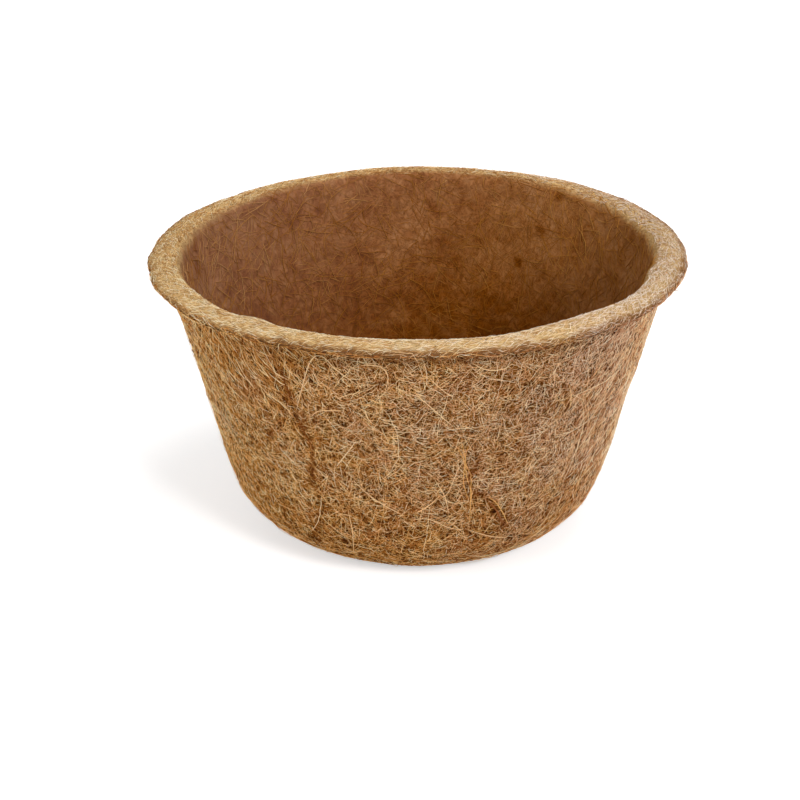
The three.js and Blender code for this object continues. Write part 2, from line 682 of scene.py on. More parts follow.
class Profile:
    """The pot's cross-section: radius and height along each face of its felt."""

    ARC_STEPS = 24
    LIP_SAMPLES = 400

    def __init__(self, sizes: PotSizes) -> None:
        """Work out the wall's line, which touches the heel's round."""
        self.sizes = sizes
        self.heel_centre = np.array((sizes.flat_radius, sizes.heel_radius))
        reach = np.array((sizes.rim_radius - sizes.lip_overhang, sizes.height)) - self.heel_centre
        turn = math.acos(sizes.heel_radius / float(np.linalg.norm(reach)))
        self.lean = math.atan2(reach[1], reach[0]) - turn
        self.outward = np.array((math.cos(self.lean), math.sin(self.lean)))
        self.upward = np.array((-self.outward[1], self.outward[0]))

    def arc(self, centre: Sequence[float], radius: float, start: float, end: float) -> np.ndarray:
        """Points of a round from one angle to another."""
        turns = np.linspace(start, end, self.ARC_STEPS)
        return np.stack((centre[0] + radius * np.cos(turns), centre[1] + radius * np.sin(turns)), axis=1)

    def face(self, depth: float, bend: float, lip_height: float) -> np.ndarray:
        """One face of the felt: the heel, the wall and the bend out to the lip.

        Args:
            depth: How far it lies under the outer face.
            bend: Radius of the bend.
            lip_height: Height that the bend levels off at.

        Returns:
            Radius and height of its points.
        """
        reach = self.sizes.heel_radius - depth
        heel = self.arc(self.heel_centre, reach, -math.pi / 2, self.lean)
        centre = self.heel_centre + self.outward * (reach + bend)
        centre = centre + self.upward * (lip_height - bend - centre[1]) / self.upward[1]
        return np.concatenate((heel, self.arc(centre, bend, self.lean + math.pi, math.pi / 2)))

    def outer_face(self) -> np.ndarray:
        """The outer ply's outside, from under the base to the lip's edge."""
        sizes = self.sizes
        low = sizes.lip_top - sizes.lip_edge
        edge = (sizes.rim_radius - sizes.lip_edge_round, low + sizes.lip_edge_round)
        return np.concatenate((
            [(sizes.outer_start, 0.0)],
            self.face(0.0, sizes.lip_root_bend, low),
            self.arc(edge, sizes.lip_edge_round, -math.pi / 2, 0.0),
            [(sizes.rim_radius, sizes.lip_middle)],
        ))

    def outer_back(self) -> np.ndarray:
        """The outer ply's hidden face."""
        sizes = self.sizes
        bend = sizes.lip_root_bend + sizes.lip_edge / 2
        return np.concatenate((
            [(sizes.outer_start, sizes.felt)],
            self.face(sizes.felt, bend, sizes.lip_middle),
            [(sizes.rim_radius - sizes.lip_edge_round, sizes.lip_middle)],
        ))

    def inner_face(self) -> np.ndarray:
        """The inner ply's inside, from the floor over the crest to the lip's edge."""
        sizes = self.sizes
        edge = (sizes.rim_radius - sizes.lip_edge_round, sizes.lip_top - sizes.lip_edge_round)
        return np.concatenate((
            [(sizes.inner_start, sizes.wall)],
            self.face(sizes.wall, sizes.crest_bend, sizes.height),
            self.arc(edge, sizes.lip_edge_round, math.pi / 2, 0.0),
            [(sizes.rim_radius, sizes.lip_middle)],
        ))

    def inner_back(self) -> np.ndarray:
        """The inner ply's hidden face."""
        sizes = self.sizes
        bend = sizes.lip_root_bend + sizes.lip_edge / 2 + sizes.bond
        depth = sizes.felt + sizes.bond
        return np.concatenate((
            [(sizes.inner_start, depth)],
            self.face(depth, bend, sizes.lip_middle + sizes.bond / 2),
            [(sizes.rim_radius - sizes.lip_edge_round, sizes.lip_middle + sizes.bond / 2)],
        ))

    def lip(self, down_outside: float, down_inside: float) -> np.ndarray:
        """The lip alone, from its underside round its edge and over the crest.

        Args:
            down_outside: How far in from the edge the underside is followed.
            down_inside: How far the inside is followed from the edge.

        Returns:
            Radius and height of its points.
        """
        outside = evenly(self.outer_face(), self.LIP_SAMPLES)
        inside = evenly(self.inner_face(), self.LIP_SAMPLES)
        kept_outside = max(2, int(self.LIP_SAMPLES * down_outside / length_of(outside)))
        kept_inside = max(2, int(self.LIP_SAMPLES * down_inside / length_of(inside)))
        return np.concatenate((outside[-kept_outside:], inside[-kept_inside:][::-1]))


class PlaneWaves:
    """A seeded sum of waves that run every way through space."""

    def __init__(self, seed: int, count: int, shortest: float, longest: float, height: float) -> None:
        """Draw the waves.

        Args:
            seed: Of the random draw.
            count: How many waves are added up.
            shortest: Least wavelength.
            longest: Greatest wavelength.
            height: How far the sum usually reaches.
        """
        draw = np.random.default_rng(seed)
        ways = draw.normal(size=(count, 3))
        ways /= np.linalg.norm(ways, axis=1, keepdims=True)
        self.ways = ways * (FULL_TURN / draw.uniform(shortest, longest, size=(count, 1)))
        self.phases = draw.uniform(0.0, FULL_TURN, size=count)
        self.height = height * math.sqrt(2.0 / count)

    def at(self, points: np.ndarray) -> np.ndarray:
        """The sum at each point."""
        return self.height * np.sin(points @ self.ways.T + self.phases).sum(axis=-1)


@dataclass(frozen=True)
class LipLump:
    """A place where the lip swells, by its azimuth and half its width in degrees."""

    azimuth: float
    half_width: float
    inward: float
    rise: float

    def share(self, azimuth: np.ndarray) -> np.ndarray:
        """How much of the lump is at each azimuth."""
        return bell(degrees_from(self.azimuth, azimuth), self.half_width)


@dataclass(frozen=True)
class Crease:
    """A line on the outside where the felt dips and few strands cross, drawn darker: partly the felt that
    shows there, partly painted shade in the groove.
    """

    pixels: tuple[Pixel, ...]
    depth: float
    width: float
    bare: float
    # How much darker strands are over it: partly the felt that shows, partly painted shade in the groove
    dark: float


@dataclass(frozen=True)
class Stain:
    """A dark spot on the inside, by the photograph's pixel at its middle."""

    pixel: Pixel
    radius: float
    dark: float


RIM_TILT = 0.009
BACK_LUMP = LipLump(162.0, 26.0, 0.0, 0.45 * MM)
LIP_LUMPS = (
    LipLump(-38.0, 4.5, 0.9 * MM, 0.5 * MM),
    LipLump(36.0, 13.0, 0.5 * MM, 0.6 * MM),
    LipLump(73.0, 8.0, 1.2 * MM, 0.2 * MM),
    LipLump(152.0, 6.0, 0.6 * MM, 0.3 * MM),
    LipLump(-131.0, 7.0, 0.5 * MM, 0.4 * MM),
)


class Warp:
    """How the hand-laid felt strays from its true turned shape."""

    # How far the felt lies under its solid, so that the strands end up at the solid's face
    MAT_DEPTH = 0.4 * MM
    LIP_DEPTH = 0.6 * MM

    # Where each stray sets in
    FOOT_LEVELS = (0.0, 0.035)
    UPPER_LEVELS = (0.6, 1.0)
    LIP_INSETS = (5 * MM, 0.0)
    LIP_DEPTHS = (9 * MM, 4 * MM)
    CREST_INSETS = (6 * MM, 3 * MM)
    CREST_DEPTHS = (8 * MM, 3 * MM)
    TOP_DEPTHS = (4 * MM, 0.5 * MM)
    BARE_WIDTH = 1.2

    def __init__(self, sizes: PotSizes) -> None:
        """Draw the lumps, the rim's wave and the lip's ragged edge."""
        self.sizes = sizes
        self.lumps = PlaneWaves(seed=11, count=16, shortest=12 * MM, longest=26 * MM, height=0.12 * MM)
        self.knots = PlaneWaves(seed=12, count=24, shortest=3.5 * MM, longest=7 * MM, height=0.022 * MM)
        self.rim_wave = PlaneWaves(seed=13, count=8, shortest=30 * MM, longest=80 * MM, height=0.15 * MM)
        self.ragged = PlaneWaves(seed=14, count=20, shortest=3.5 * MM, longest=11 * MM, height=0.03 * MM)
        self.creases: list[tuple[Crease, np.ndarray]] = []
        self.stains: list[tuple[Stain, np.ndarray]] = []

    def moved(self, points: np.ndarray, skin: float, sunk: float = 0.0) -> np.ndarray:
        """Where points of the true shape end up.

        Args:
            points: Points of the true shape.
            skin: 1 on the outside, where creases show, and 0 elsewhere.
            sunk: How far they lie under the strands' own surface.

        Returns:
            The moved points.
        """
        sizes = self.sizes
        radius = np.hypot(points[..., 0], points[..., 1])
        away = points * np.array((1.0, 1.0, 0.0)) / np.maximum(radius, MM)[..., None]
        height = points[..., 2]
        azimuth = azimuth_of(points)
        clear = sizes.upwards(self.FOOT_LEVELS, height)
        lip = sizes.near_rim(self.LIP_INSETS, radius) * sizes.near_top(self.LIP_DEPTHS, height)
        out = (self.lumps.at(points) + self.knots.at(points)) * clear + self.ragged.at(points) * lip
        up = self.rim_wave.at(points) + RIM_TILT * points[..., 0] + BACK_LUMP.rise * BACK_LUMP.share(azimuth)
        up = up * sizes.upwards(self.UPPER_LEVELS, height)
        up = up + self.knots.at(points[..., [1, 2, 0]]) * lip
        crest = sizes.near_top(self.CREST_DEPTHS, height) * (1 - sizes.near_rim(self.CREST_INSETS, radius))
        for lump in LIP_LUMPS:
            share = crest * lump.share(azimuth)
            out = out - lump.inward * share
            up = up + lump.rise * share
        up = up - self.LIP_DEPTH * sizes.near_top(self.TOP_DEPTHS, height)
        if skin > 0:
            out = out - (self.MAT_DEPTH + sunk) * clear * (1 - lip)
            for crease, line in self.creases:
                dip = crease.depth * bell(distance_to(line, points), crease.width)
                out = out - skin * dip * (1 - lip)
        moved = points + away * out[..., None]
        moved[..., 2] += up
        return moved

    def shade(self, points: np.ndarray) -> np.ndarray:
        """How much darker each point is: painted shade in the outside's creases, and the inside's real
        stains.
        """
        shade = np.zeros(points.shape[:-1])
        for crease, line in self.creases:
            shade += crease.dark * bell(distance_to(line, points), crease.width)
        return shade + self.stained(points)

    def stained(self, points: np.ndarray) -> np.ndarray:
        """How much darker the inside is at each point, in its stains."""
        shade = np.zeros(points.shape[:-1])
        for stain, place in self.stains:
            shade += stain.dark * bell(np.linalg.norm(points - place, axis=-1), stain.radius)
        return shade

    def cover(self, points: np.ndarray) -> np.ndarray:
        """The share of strands left at each point of the outside."""
        cover = np.ones(points.shape[:-1])
        for crease, line in self.creases:
            cover *= 1 - crease.bare * bell(distance_to(line, points), self.BARE_WIDTH * crease.width)
        return cover


class Lay:
    """How strands lie and how light they are at each point of a patch."""

    # The ways that combed strands run, from level towards up
    STEEP = math.radians(115)
    LEANING = math.radians(65)
    UPRIGHT = math.radians(90)
    LIP_SLANT = math.radians(12)

    # Zones round the pot, by the azimuth of their middle and half their width in degrees
    LEFT_SWEEP = (-44.0, 24.0)
    RIGHT_SWEEP = (60.0, 26.0)
    RIGHT_LEAN = (60.0, 30.0)
    # Painted highlight: a paler, greyer patch high on the right, near the lip
    BLEACHED = (45.0, 16.0)
    CLEAN_EDGE = (-65.0, 45.0)
    ROSY_END = (90.0, 65.0)
    LEFT_INSIDE = (-90.0, 70.0)
    ZONE_CORE = 0.35

    # How strictly strands keep to one way, and how much thicker they are at the sides
    LEFT_COMB = 0.5
    RIGHT_COMB = 0.25
    LIP_COMB = 0.55
    COMBED_LEVELS = (0.55, 0.8)
    SIDE_GIRTH = 0.2
    SIDE_AZIMUTHS = (25.0, 50.0)

    # Warmth, from 0 for golden to 1 for rosy
    WARM_MIDDLE = 0.38
    WARM_SWING = 0.42
    WARM_TURN = 0.1
    LOW_GOLD = 0.38
    LOW_LEVELS = (0.05, 0.55)
    TOP_GOLD = 0.15
    TOP_LEVELS = (0.8, 0.95)
    # How far the painted highlight turns the strands rosy and pale
    BLEACH = 0.45
    BLEACH_LEVELS = (0.7, 0.86)
    LIP_ROSE = 0.4
    INSIDE_MIDDLE = 0.12
    INSIDE_SWING = 0.65
    INSIDE_CLIMB = 0.9
    INSIDE_LEVEL = 0.55

    # Light and dark, as shares of the whole range of tones: painted shade under the lip, at the foot and deep
    # inside, painted light on the lip towards the lamps and on the inside's side walls, and darker round the
    # lip's edge, at its back and down its inside
    # Painted shade just under the lip's overhang and at the foot of the wall
    UNDER_LIP_DARK = 0.02
    UNDER_LIP_LEVELS = (0.86, 0.95)
    FOOT_DARK = 0.13
    FOOT_LEVELS = (0.1, 0.45)
    # Painted light: the lip is lighter towards the lamps at the front right
    LIP_LIGHT = 0.13
    LIP_LIGHT_AZIMUTH = 65.0
    BACK_DARK = 0.25
    # Round the lip's edge and down its inside: partly their own browner fibre, partly painted shade where the
    # lip turns down and into the pot
    EDGE_DARK = 0.2
    WITHIN_DARK = 0.2
    # Painted light on the inside's side walls and painted shade deep inside, towards the floor
    SIDE_LIGHT = 0.1
    LEFT_LIGHT = 0.04
    FLOOR_DARK = 0.22
    FLOOR_LEVELS = (0.2, 1.0)
    INSIDE_DARK = 0.015

    # The brown edge of the lip
    STAIN_WAVE = PlaneWaves(seed=16, count=14, shortest=2.5 * MM, longest=7 * MM, height=0.12 * MM)
    EDGE_BELOW = 0.5 * MM
    EDGE_ABOVE = 0.4 * MM
    EDGE_INSETS = (4 * MM, 2 * MM)
    EDGE_CLEANED = 0.6

    # The lip's change to the inside, in millimetres under the top
    WITHIN_INSETS = (5 * MM, 4 * MM)
    WITHIN_START = 0.8
    WITHIN_START_BACK = 0.6
    WITHIN_SPAN = 2.8
    WITHIN_SPAN_BACK = 1.8
    WITHIN_SPAN_SIDE = 2.5
    SIDE_RAGGED = 4
    SIDE_SHARPNESS = 6
    LIP_BARED = 0.85
    LIP_BARE_BAND = (0.4, 0.95)

    def __init__(self, sizes: PotSizes, points: np.ndarray) -> None:
        """Note each point's azimuth, radius and height.

        Args:
            sizes: The pot's sizes.
            points: The patch's points on the true shape.
        """
        self.sizes = sizes
        self.points = points
        self.azimuth = azimuth_of(points)
        self.turn = np.radians(self.azimuth)
        self.radius = np.hypot(points[..., 0], points[..., 1])
        self.height = points[..., 2]
        self.level = self.height / sizes.height

    def near(self, zone: Span) -> np.ndarray:
        """1 in the core of a zone round the pot, falling to 0 at its ends."""
        middle, half = zone
        return 1.0 - smooth_step(self.ZONE_CORE * half, half, np.abs(degrees_from(middle, self.azimuth)))

    def comb(self) -> np.ndarray:
        """How strictly the strands keep to one way."""
        upper = self.sizes.upwards(self.COMBED_LEVELS, self.height)
        left = self.LEFT_COMB * self.near(self.LEFT_SWEEP) * upper
        return left + self.RIGHT_COMB * self.near(self.RIGHT_SWEEP)

    def coarse(self) -> np.ndarray:
        """How thick the strands are there against those at the front."""
        return 1.0 + self.SIDE_GIRTH * smooth_step(*self.SIDE_AZIMUTHS, np.abs(self.azimuth))

    def lie(self) -> np.ndarray:
        """The way that combed strands run, from level towards up."""
        left = self.near(self.LEFT_SWEEP) * (self.STEEP - self.UPRIGHT)
        return self.UPRIGHT + left + self.near(self.RIGHT_LEAN) * (self.LEANING - self.UPRIGHT)

    def warmth(self) -> np.ndarray:
        """From golden at the left and low down to rosy at the right and high up, with a pale painted
        highlight high on the right.
        """
        low = 1 - smooth_step(*self.LOW_LEVELS, self.level)
        top = smooth_step(*self.TOP_LEVELS, self.level)
        painted_highlight = self.near(self.BLEACHED) * smooth_step(*self.BLEACH_LEVELS, self.level)
        across = self.WARM_MIDDLE + self.WARM_SWING * np.sin(self.turn + self.WARM_TURN)
        return across - self.LOW_GOLD * low - self.TOP_GOLD * top + self.BLEACH * painted_highlight

    def inside_warmth(self) -> np.ndarray:
        """From rosy at the left to golden at the right."""
        across = self.INSIDE_MIDDLE - self.INSIDE_SWING * np.sin(self.turn)
        return across + self.INSIDE_CLIMB * (self.level - self.INSIDE_LEVEL)

    def edge(self) -> np.ndarray:
        """How brown the lip is towards its edge: not at all on its top, fully round its edge."""
        top = self.sizes.lip_top
        level = self.height + self.STAIN_WAVE.at(self.points)
        low = 1 - smooth_step(top - self.EDGE_BELOW, top + self.EDGE_ABOVE, level)
        outer = self.sizes.near_rim(self.EDGE_INSETS, self.radius)
        return low * outer * (1 - self.EDGE_CLEANED * self.near(self.CLEAN_EDGE))

    def back(self) -> np.ndarray:
        """1 at the back, falling to almost nothing at the sides."""
        return (0.5 - 0.5 * np.cos(self.turn)) ** 2

    def within(self) -> np.ndarray:
        """How far inside a point is: not at all on the lip's top, fully on the inner wall."""
        back = self.back()
        beside = np.sin(self.turn) ** self.SIDE_SHARPNESS
        deep = self.sizes.height - self.height + self.SIDE_RAGGED * beside * self.STAIN_WAVE.at(self.points)
        start = (self.WITHIN_START - self.WITHIN_START_BACK * back) * MM
        span = (self.WITHIN_SPAN - self.WITHIN_SPAN_BACK * back + self.WITHIN_SPAN_SIDE * beside) * MM
        deep = smooth_step(0.0, 1.0, (deep - start) / span)
        return deep * (1 - self.sizes.near_rim(self.WITHIN_INSETS, self.radius))

    def rim(self) -> np.ndarray:
        """How much of the lip's straw colour shows: all of it on the top, none well inside."""
        return (1 - self.edge()) * (1 - self.within())

    def outside_light(self) -> np.ndarray:
        """The outside's painted shade: darker just under the lip's overhang and at the foot, where less light
        falls.
        """
        under = self.sizes.upwards(self.UNDER_LIP_LEVELS, self.height)
        foot = 1 - self.sizes.upwards(self.FOOT_LEVELS, self.height)
        return -self.UNDER_LIP_DARK * under - self.FOOT_DARK * foot

    def lip_light(self) -> np.ndarray:
        """The lip's painted light and shade: lighter towards the lamps at the front right and darker at the
        back; darker round its edge and down its inside, partly for their own browner fibre, partly as painted
        shade.
        """
        front = 0.5 + 0.5 * np.cos(np.radians(self.azimuth - self.LIP_LIGHT_AZIMUTH))
        shade = self.BACK_DARK * self.back() + self.EDGE_DARK * self.edge() + self.WITHIN_DARK * self.within()
        return self.LIP_LIGHT * front - shade

    def inside_light(self) -> np.ndarray:
        """The inside's painted light and shade: lighter on its side walls, most on the left, which the lamps
        at the right shine on, and darker towards the floor, deep in the pot.
        """
        beside = np.abs(np.sin(self.turn))
        low = 1 - self.sizes.upwards(self.FLOOR_LEVELS, self.height)
        light = self.SIDE_LIGHT * beside + self.LEFT_LIGHT * self.near(self.LEFT_INSIDE)
        return light - self.FLOOR_DARK * low - self.INSIDE_DARK

    def outside_strands(self) -> dict[str, np.ndarray]:
        """What strands on the outside follow, by the name of the attribute."""
        return {
            "bright": self.outside_light(),
            "warmth": self.warmth(),
            "comb": self.comb(),
            "lie": self.lie(),
        }

    def lip_strands(self) -> dict[str, np.ndarray]:
        """What strands on the lip follow: about the same way all round, fewer down its inside."""
        return {
            "cover": 1 - self.LIP_BARED * smooth_step(*self.LIP_BARE_BAND, self.within()),
            "bright": self.lip_light(),
            "warmth": self.warmth() + self.LIP_ROSE * self.near(self.ROSY_END),
            "comb": np.full(self.azimuth.shape, self.LIP_COMB),
            "lie": np.full(self.azimuth.shape, self.LIP_SLANT),
        }

    def inside_strands(self) -> dict[str, np.ndarray]:
        """What strands on the inside follow, by the name of the attribute."""
        return {
            "cover": self.within(),
            "bright": self.inside_light(),
            "warmth": self.inside_warmth(),
            "comb": self.comb(),
            "lie": self.lie(),
        }


# Finishes


def dressed_material(name: str, fill: Callable[[ShaderTree], None]) -> bpy.types.Material:
    """A material whose nodes are made by a function.

    Args:
        name: The material's name.
        fill: Fills the material's tree.

    Returns:
        The material.
    """
    material = bpy.data.materials.new(name)
    material.use_nodes = True
    fill(ShaderTree(material.node_tree))
    return material


@dataclass(frozen=True)
class FeltFinish:
    """Pressed coir felt under the loose strands: crossing fibres, pinholes and stained patches."""

    # The ways that the fibres run, in degrees
    WAYS = (0.0, 37.0, 78.0, 121.0, 158.0)
    LINE_GAP = 2.4
    LINE_BAND = (0.01, 0.08)

    # The tone's middle and stops, and how much each pattern counts
    MIDDLE_TONE = 0.46
    STOPS = (0.08, 0.3, 0.58, 0.92)
    PATCH_SHARE = 0.55
    ROSY_SHARE = 0.5
    STRAW_FIBRES = 0.7
    STRAW_GRAIN = 0.4
    BUMP_FIBRES = 0.7
    BUMP_GRAIN = 0.3

    name: str
    pit: Colour
    dark: Colour
    middle: Colour
    light: Colour
    rim_dark: Colour = (0.14, 0.048, 0.009)
    rim_light: Colour = (0.64, 0.42, 0.18)
    edge_colour: Colour = (0.17, 0.085, 0.036)
    rosy: Colour = (0.27, 0.12, 0.075)
    fibre_width: float = 0.22 * MM
    fibre_length: float = 5 * MM
    bend_size: float = 6 * MM
    bend_reach: float = 4 * MM
    grain_size: float = 0.9 * MM
    patch_size: float = 14 * MM
    mottle_size: float = 2.6 * MM
    relief: float = 0.35 * MM
    lines: float = 0.62
    grain: float = 0.3
    mottle: float = 0.0
    roughness: float = 0.95
    specular: float = 0.02

    def material(self) -> bpy.types.Material:
        """The felt's material."""
        return dressed_material(self.name, self._fill)

    def _fill(self, tree: ShaderTree) -> None:
        """Add the felt's nodes.

        Args:
            tree: The material's tree.
        """
        place = tree.attribute("lay", "Vector")
        bends = tree.noise(place, self.bend_size, 1.0, "Color").offset((-0.5, -0.5, -0.5))
        curled = place + bends * self.bend_reach
        fibres = reduce(Wire.larger, [self._lines(tree, curled, math.radians(way)) for way in self.WAYS])
        grain = tree.noise(place, self.grain_size, 3.0)
        spot = tree.make("ShaderNodeTexCoord")["Object"]
        patch = tree.noise(spot, self.patch_size, 2.0)
        mottle = tree.noise(spot, self.mottle_size, 1.0)
        rosy = tree.attribute("rosy")
        tone = self.MIDDLE_TONE + (fibres - 0.5) * self.lines + (grain - 0.5) * self.grain
        tone = tone + (patch - 0.5) * self.PATCH_SHARE
        tone = tone + (mottle - 0.5) * (rosy + 1.0) * self.mottle + tree.attribute("bright")
        colours = (self.pit, self.dark, self.middle, self.light)
        colour = tree.ramp(tone, list(zip(self.STOPS, colours)))
        colour = tree.blend(rosy * self.ROSY_SHARE, colour, self.rosy)
        straw_share = (fibres * self.STRAW_FIBRES + grain * self.STRAW_GRAIN).held()
        straw = tree.blend(straw_share, self.rim_dark, self.rim_light)
        colour = tree.blend(tree.attribute("rim"), colour, straw)
        colour = tree.blend(tree.attribute("edge"), colour, self.edge_colour)
        height = fibres * self.BUMP_FIBRES + grain * self.BUMP_GRAIN
        bump_sockets = {"Height": height, "Distance": self.relief, "Strength": 1.0}
        tree.surface({
            "Base Color": colour,
            "Roughness": self.roughness,
            "Normal": tree.make("ShaderNodeBump", {}, bump_sockets)["Normal"],
            "Specular IOR Level": self.specular,
        })

    def _lines(self, tree: ShaderTree, place: Wire, way: float) -> Wire:
        """One way's fibres, as bright lines.

        Args:
            tree: The material's tree.
            place: Where on the felt.
            way: The way that the fibres run.

        Returns:
            A value that is 1 along a fibre's middle.
        """
        turned_sockets = {"Vector": place, "Axis": (0.0, 0.0, 1.0), "Angle": way}
        laid = tree.make("ShaderNodeVectorRotate", {"rotation_type": "AXIS_ANGLE"}, turned_sockets).first
        stretch = (1 / self.fibre_length, 1 / (self.LINE_GAP * self.fibre_width), 1.0)
        noise = tree.noise(tree.vector_maths("MULTIPLY", laid, stretch), 1.0, 0.0)
        return abs(noise - 0.5).between(*self.LINE_BAND, 1.0, 0.0)


@dataclass(frozen=True)
class StrandFinish:
    """Loose coir strands: each has a tone from shaded brown to straw, and leans golden or rosy."""

    name: str
    golden: tuple[Colour, ...]
    rosy: tuple[Colour, ...]
    roughness: float = 0.72
    specular: float = 0.04

    def material(self) -> bpy.types.Material:
        """The strands' material."""
        return dressed_material(self.name, self._fill)

    def _ramp(self, tree: ShaderTree, tone: Wire, colours: tuple[Colour, ...]) -> Wire:
        """Colours set out evenly over the tone."""
        return tree.ramp(tone, [(index / (len(colours) - 1), colour) for index, colour in enumerate(colours)])

    def _fill(self, tree: ShaderTree) -> None:
        """Add the strands' nodes.

        Args:
            tree: The material's tree.
        """
        tone = tree.attribute("tone")
        golden, rosy = self._ramp(tree, tone, self.golden), self._ramp(tree, tone, self.rosy)
        tree.surface({
            "Base Color": tree.blend(tree.attribute("hue"), golden, rosy),
            "Roughness": self.roughness,
            "Specular IOR Level": self.specular,
        })


# The outer felt is drawn far darker than the strands' coir: partly painted shade, standing for the shaded
# gaps between the strands
OUTER_FELT = FeltFinish(
    "outer_felt", (0.012, 0.0026, 0.0004), (0.04, 0.0097, 0.0012), (0.12, 0.037, 0.0055), (0.3, 0.12, 0.025)
)
INNER_FELT = FeltFinish(
    "inner_felt", (0.07, 0.016, 0.001), (0.175, 0.047, 0.002), (0.3, 0.12, 0.034), (0.43, 0.22, 0.1),
    relief=0.15 * MM, lines=0.14, grain=0.1, mottle=0.4,
)
OUTER_STRANDS = StrandFinish(
    "outer_strands",
    golden=(
        (0.02, 0.0042, 0.0005), (0.3, 0.076, 0.008), (0.62, 0.24, 0.048), (0.85, 0.48, 0.155),
        (0.94, 0.73, 0.38),
    ),
    rosy=(
        (0.02, 0.005, 0.001), (0.32, 0.11, 0.037), (0.61, 0.3, 0.158), (0.83, 0.55, 0.33),
        (0.93, 0.76, 0.54),
    ),
)
LIP_STRANDS = StrandFinish(
    "lip_strands",
    golden=(
        (0.26, 0.08, 0.008), (0.52, 0.23, 0.052), (0.73, 0.455, 0.18), (0.87, 0.7, 0.4),
        (0.93, 0.83, 0.61),
    ),
    rosy=((0.28, 0.1, 0.026), (0.52, 0.285, 0.135), (0.7, 0.49, 0.34), (0.83, 0.69, 0.55), (0.91, 0.81, 0.7)),
)
INNER_STRANDS = StrandFinish(
    "inner_strands",
    golden=(
        (0.15, 0.041, 0.002), (0.24, 0.077, 0.005), (0.34, 0.13, 0.018), (0.45, 0.205, 0.05),
        (0.56, 0.31, 0.11),
    ),
    rosy=(
        (0.16, 0.049, 0.006), (0.25, 0.09, 0.017), (0.34, 0.145, 0.042), (0.45, 0.225, 0.09),
        (0.55, 0.33, 0.16),
    ),
)


# Felt


SHARP_ANGLE = math.radians(50)


def dress(piece: bpy.types.Object, finish: bpy.types.Material) -> None:
    """Turn a closed piece's faces outwards, smooth it and give it its material.

    Args:
        piece: The piece.
        finish: Its material.
    """
    work = bmesh.new()
    work.from_mesh(piece.data)
    bmesh.ops.recalc_face_normals(work, faces=work.faces)
    work.to_mesh(piece.data)
    work.free()
    piece.data.shade_smooth()
    piece.data.set_sharp_from_angle(angle=SHARP_ANGLE)
    piece.data.materials.append(finish)


@dataclass
class Ply:
    """One ply's gores of felt, between the profile that shows and the hidden one.

    The first gore's middle is turned from the front by a share of a gore, shift. A facet is about one
    step wide. Seamless gores meet without a line that shows.
    """

    LEAST_FACETS = 8
    SEAM_INSET = 0.001
    LAY_SHIFT = 0.7
    FELT_DEPTH = 0.25 * MM

    name: str
    sizes: PotSizes
    face: np.ndarray
    back: np.ndarray
    shift: float
    step: float
    seamless: bool

    def __post_init__(self) -> None:
        """Set out both profiles in even steps."""
        self.columns = max(self.LEAST_FACETS, round(length_of(self.face) / self.step))
        self.face = evenly(self.face, self.columns)
        self.back = evenly(self.back, self.columns)
        self.share = FULL_TURN / self.sizes.gore_count
        self.rows = max(self.LEAST_FACETS, round(self.share * self.sizes.rim_radius / self.step))

    def middle(self, index: int) -> float:
        """Azimuth of a gore's middle, counted from the front towards +X."""
        return self.share * (index + self.shift)

    def azimuths(self, index: int, inset: float = 0.0) -> np.ndarray:
        """Azimuths across a gore, a little inside its seams."""
        half = self.share / 2 - inset
        return self.middle(index) + np.linspace(-half, half, self.rows)

    def _faces(self) -> Faces:
        """Faces of a gore: both its sides and the strips that join them all round."""
        far = self.rows * self.columns
        faces = grid_faces(self.rows, self.columns)
        faces += [tuple(reversed(quad)) for quad in grid_faces(self.rows, self.columns, far)]
        grid = np.arange(far).reshape(self.rows, self.columns)
        for strip in (grid[:, 0], grid[:, -1], grid[0], grid[-1]):
            corners = strip.tolist()
            faces += [(here, there, far + there, far + here) for here, there in zip(corners, corners[1:])]
        return faces

    def _spread(self, index: int, azimuths: np.ndarray) -> np.ndarray:
        """Each vertex's place on the gore as if it were laid out flat, for the pattern of its fibres."""
        along = np.linspace(0.0, length_of(self.face), self.columns)
        start, shift, radius = self.middle(index), index * self.LAY_SHIFT, self.face[:, 0]
        if self.seamless:
            start, shift, radius = math.pi, 0.0, np.full(self.columns, self.sizes.rim_radius)
        across = (azimuths - start)[:, None] * radius[None, :]
        flat = np.stack((across, np.broadcast_to(along, across.shape), np.zeros_like(across)), axis=-1)
        return np.concatenate((flat, flat)).reshape(-1, 3) + shift

    def felt(self, index: int, warp: Warp, skin: float, finish: bpy.types.Material) -> bpy.types.Object:
        """One gore of felt, closed all round.

        Args:
            index: Which gore.
            warp: How the felt strays from its true shape.
            skin: 1 where the side that shows is the outside.
            finish: The felt's material.

        Returns:
            The gore.
        """
        azimuths = self.azimuths(index, 0.0 if self.seamless else self.SEAM_INSET)
        true_face, true_back = turned(self.face, azimuths), turned(self.back, azimuths)
        face, back = warp.moved(true_face, skin, self.FELT_DEPTH), warp.moved(true_back, 0.0)
        points = np.concatenate((face.reshape(-1, 3), back.reshape(-1, 3)))
        piece = mesh_object(f"{self.name}_felt_{index + 1}", points, self._faces())
        set_attribute(piece, "lay", self._spread(index, azimuths))
        lay = Lay(self.sizes, np.concatenate((true_face.reshape(-1, 3), true_back.reshape(-1, 3))))
        set_attribute(piece, "rim", lay.rim())
        set_attribute(piece, "edge", lay.edge())
        if skin == 0:
            # The inside's painted light and shade, less its real stains
            set_attribute(piece, "bright", lay.inside_light() - warp.stained(points))
            set_attribute(piece, "rosy", np.clip(lay.inside_warmth(), 0.0, 1.0))
        dress(piece, finish)
        return piece


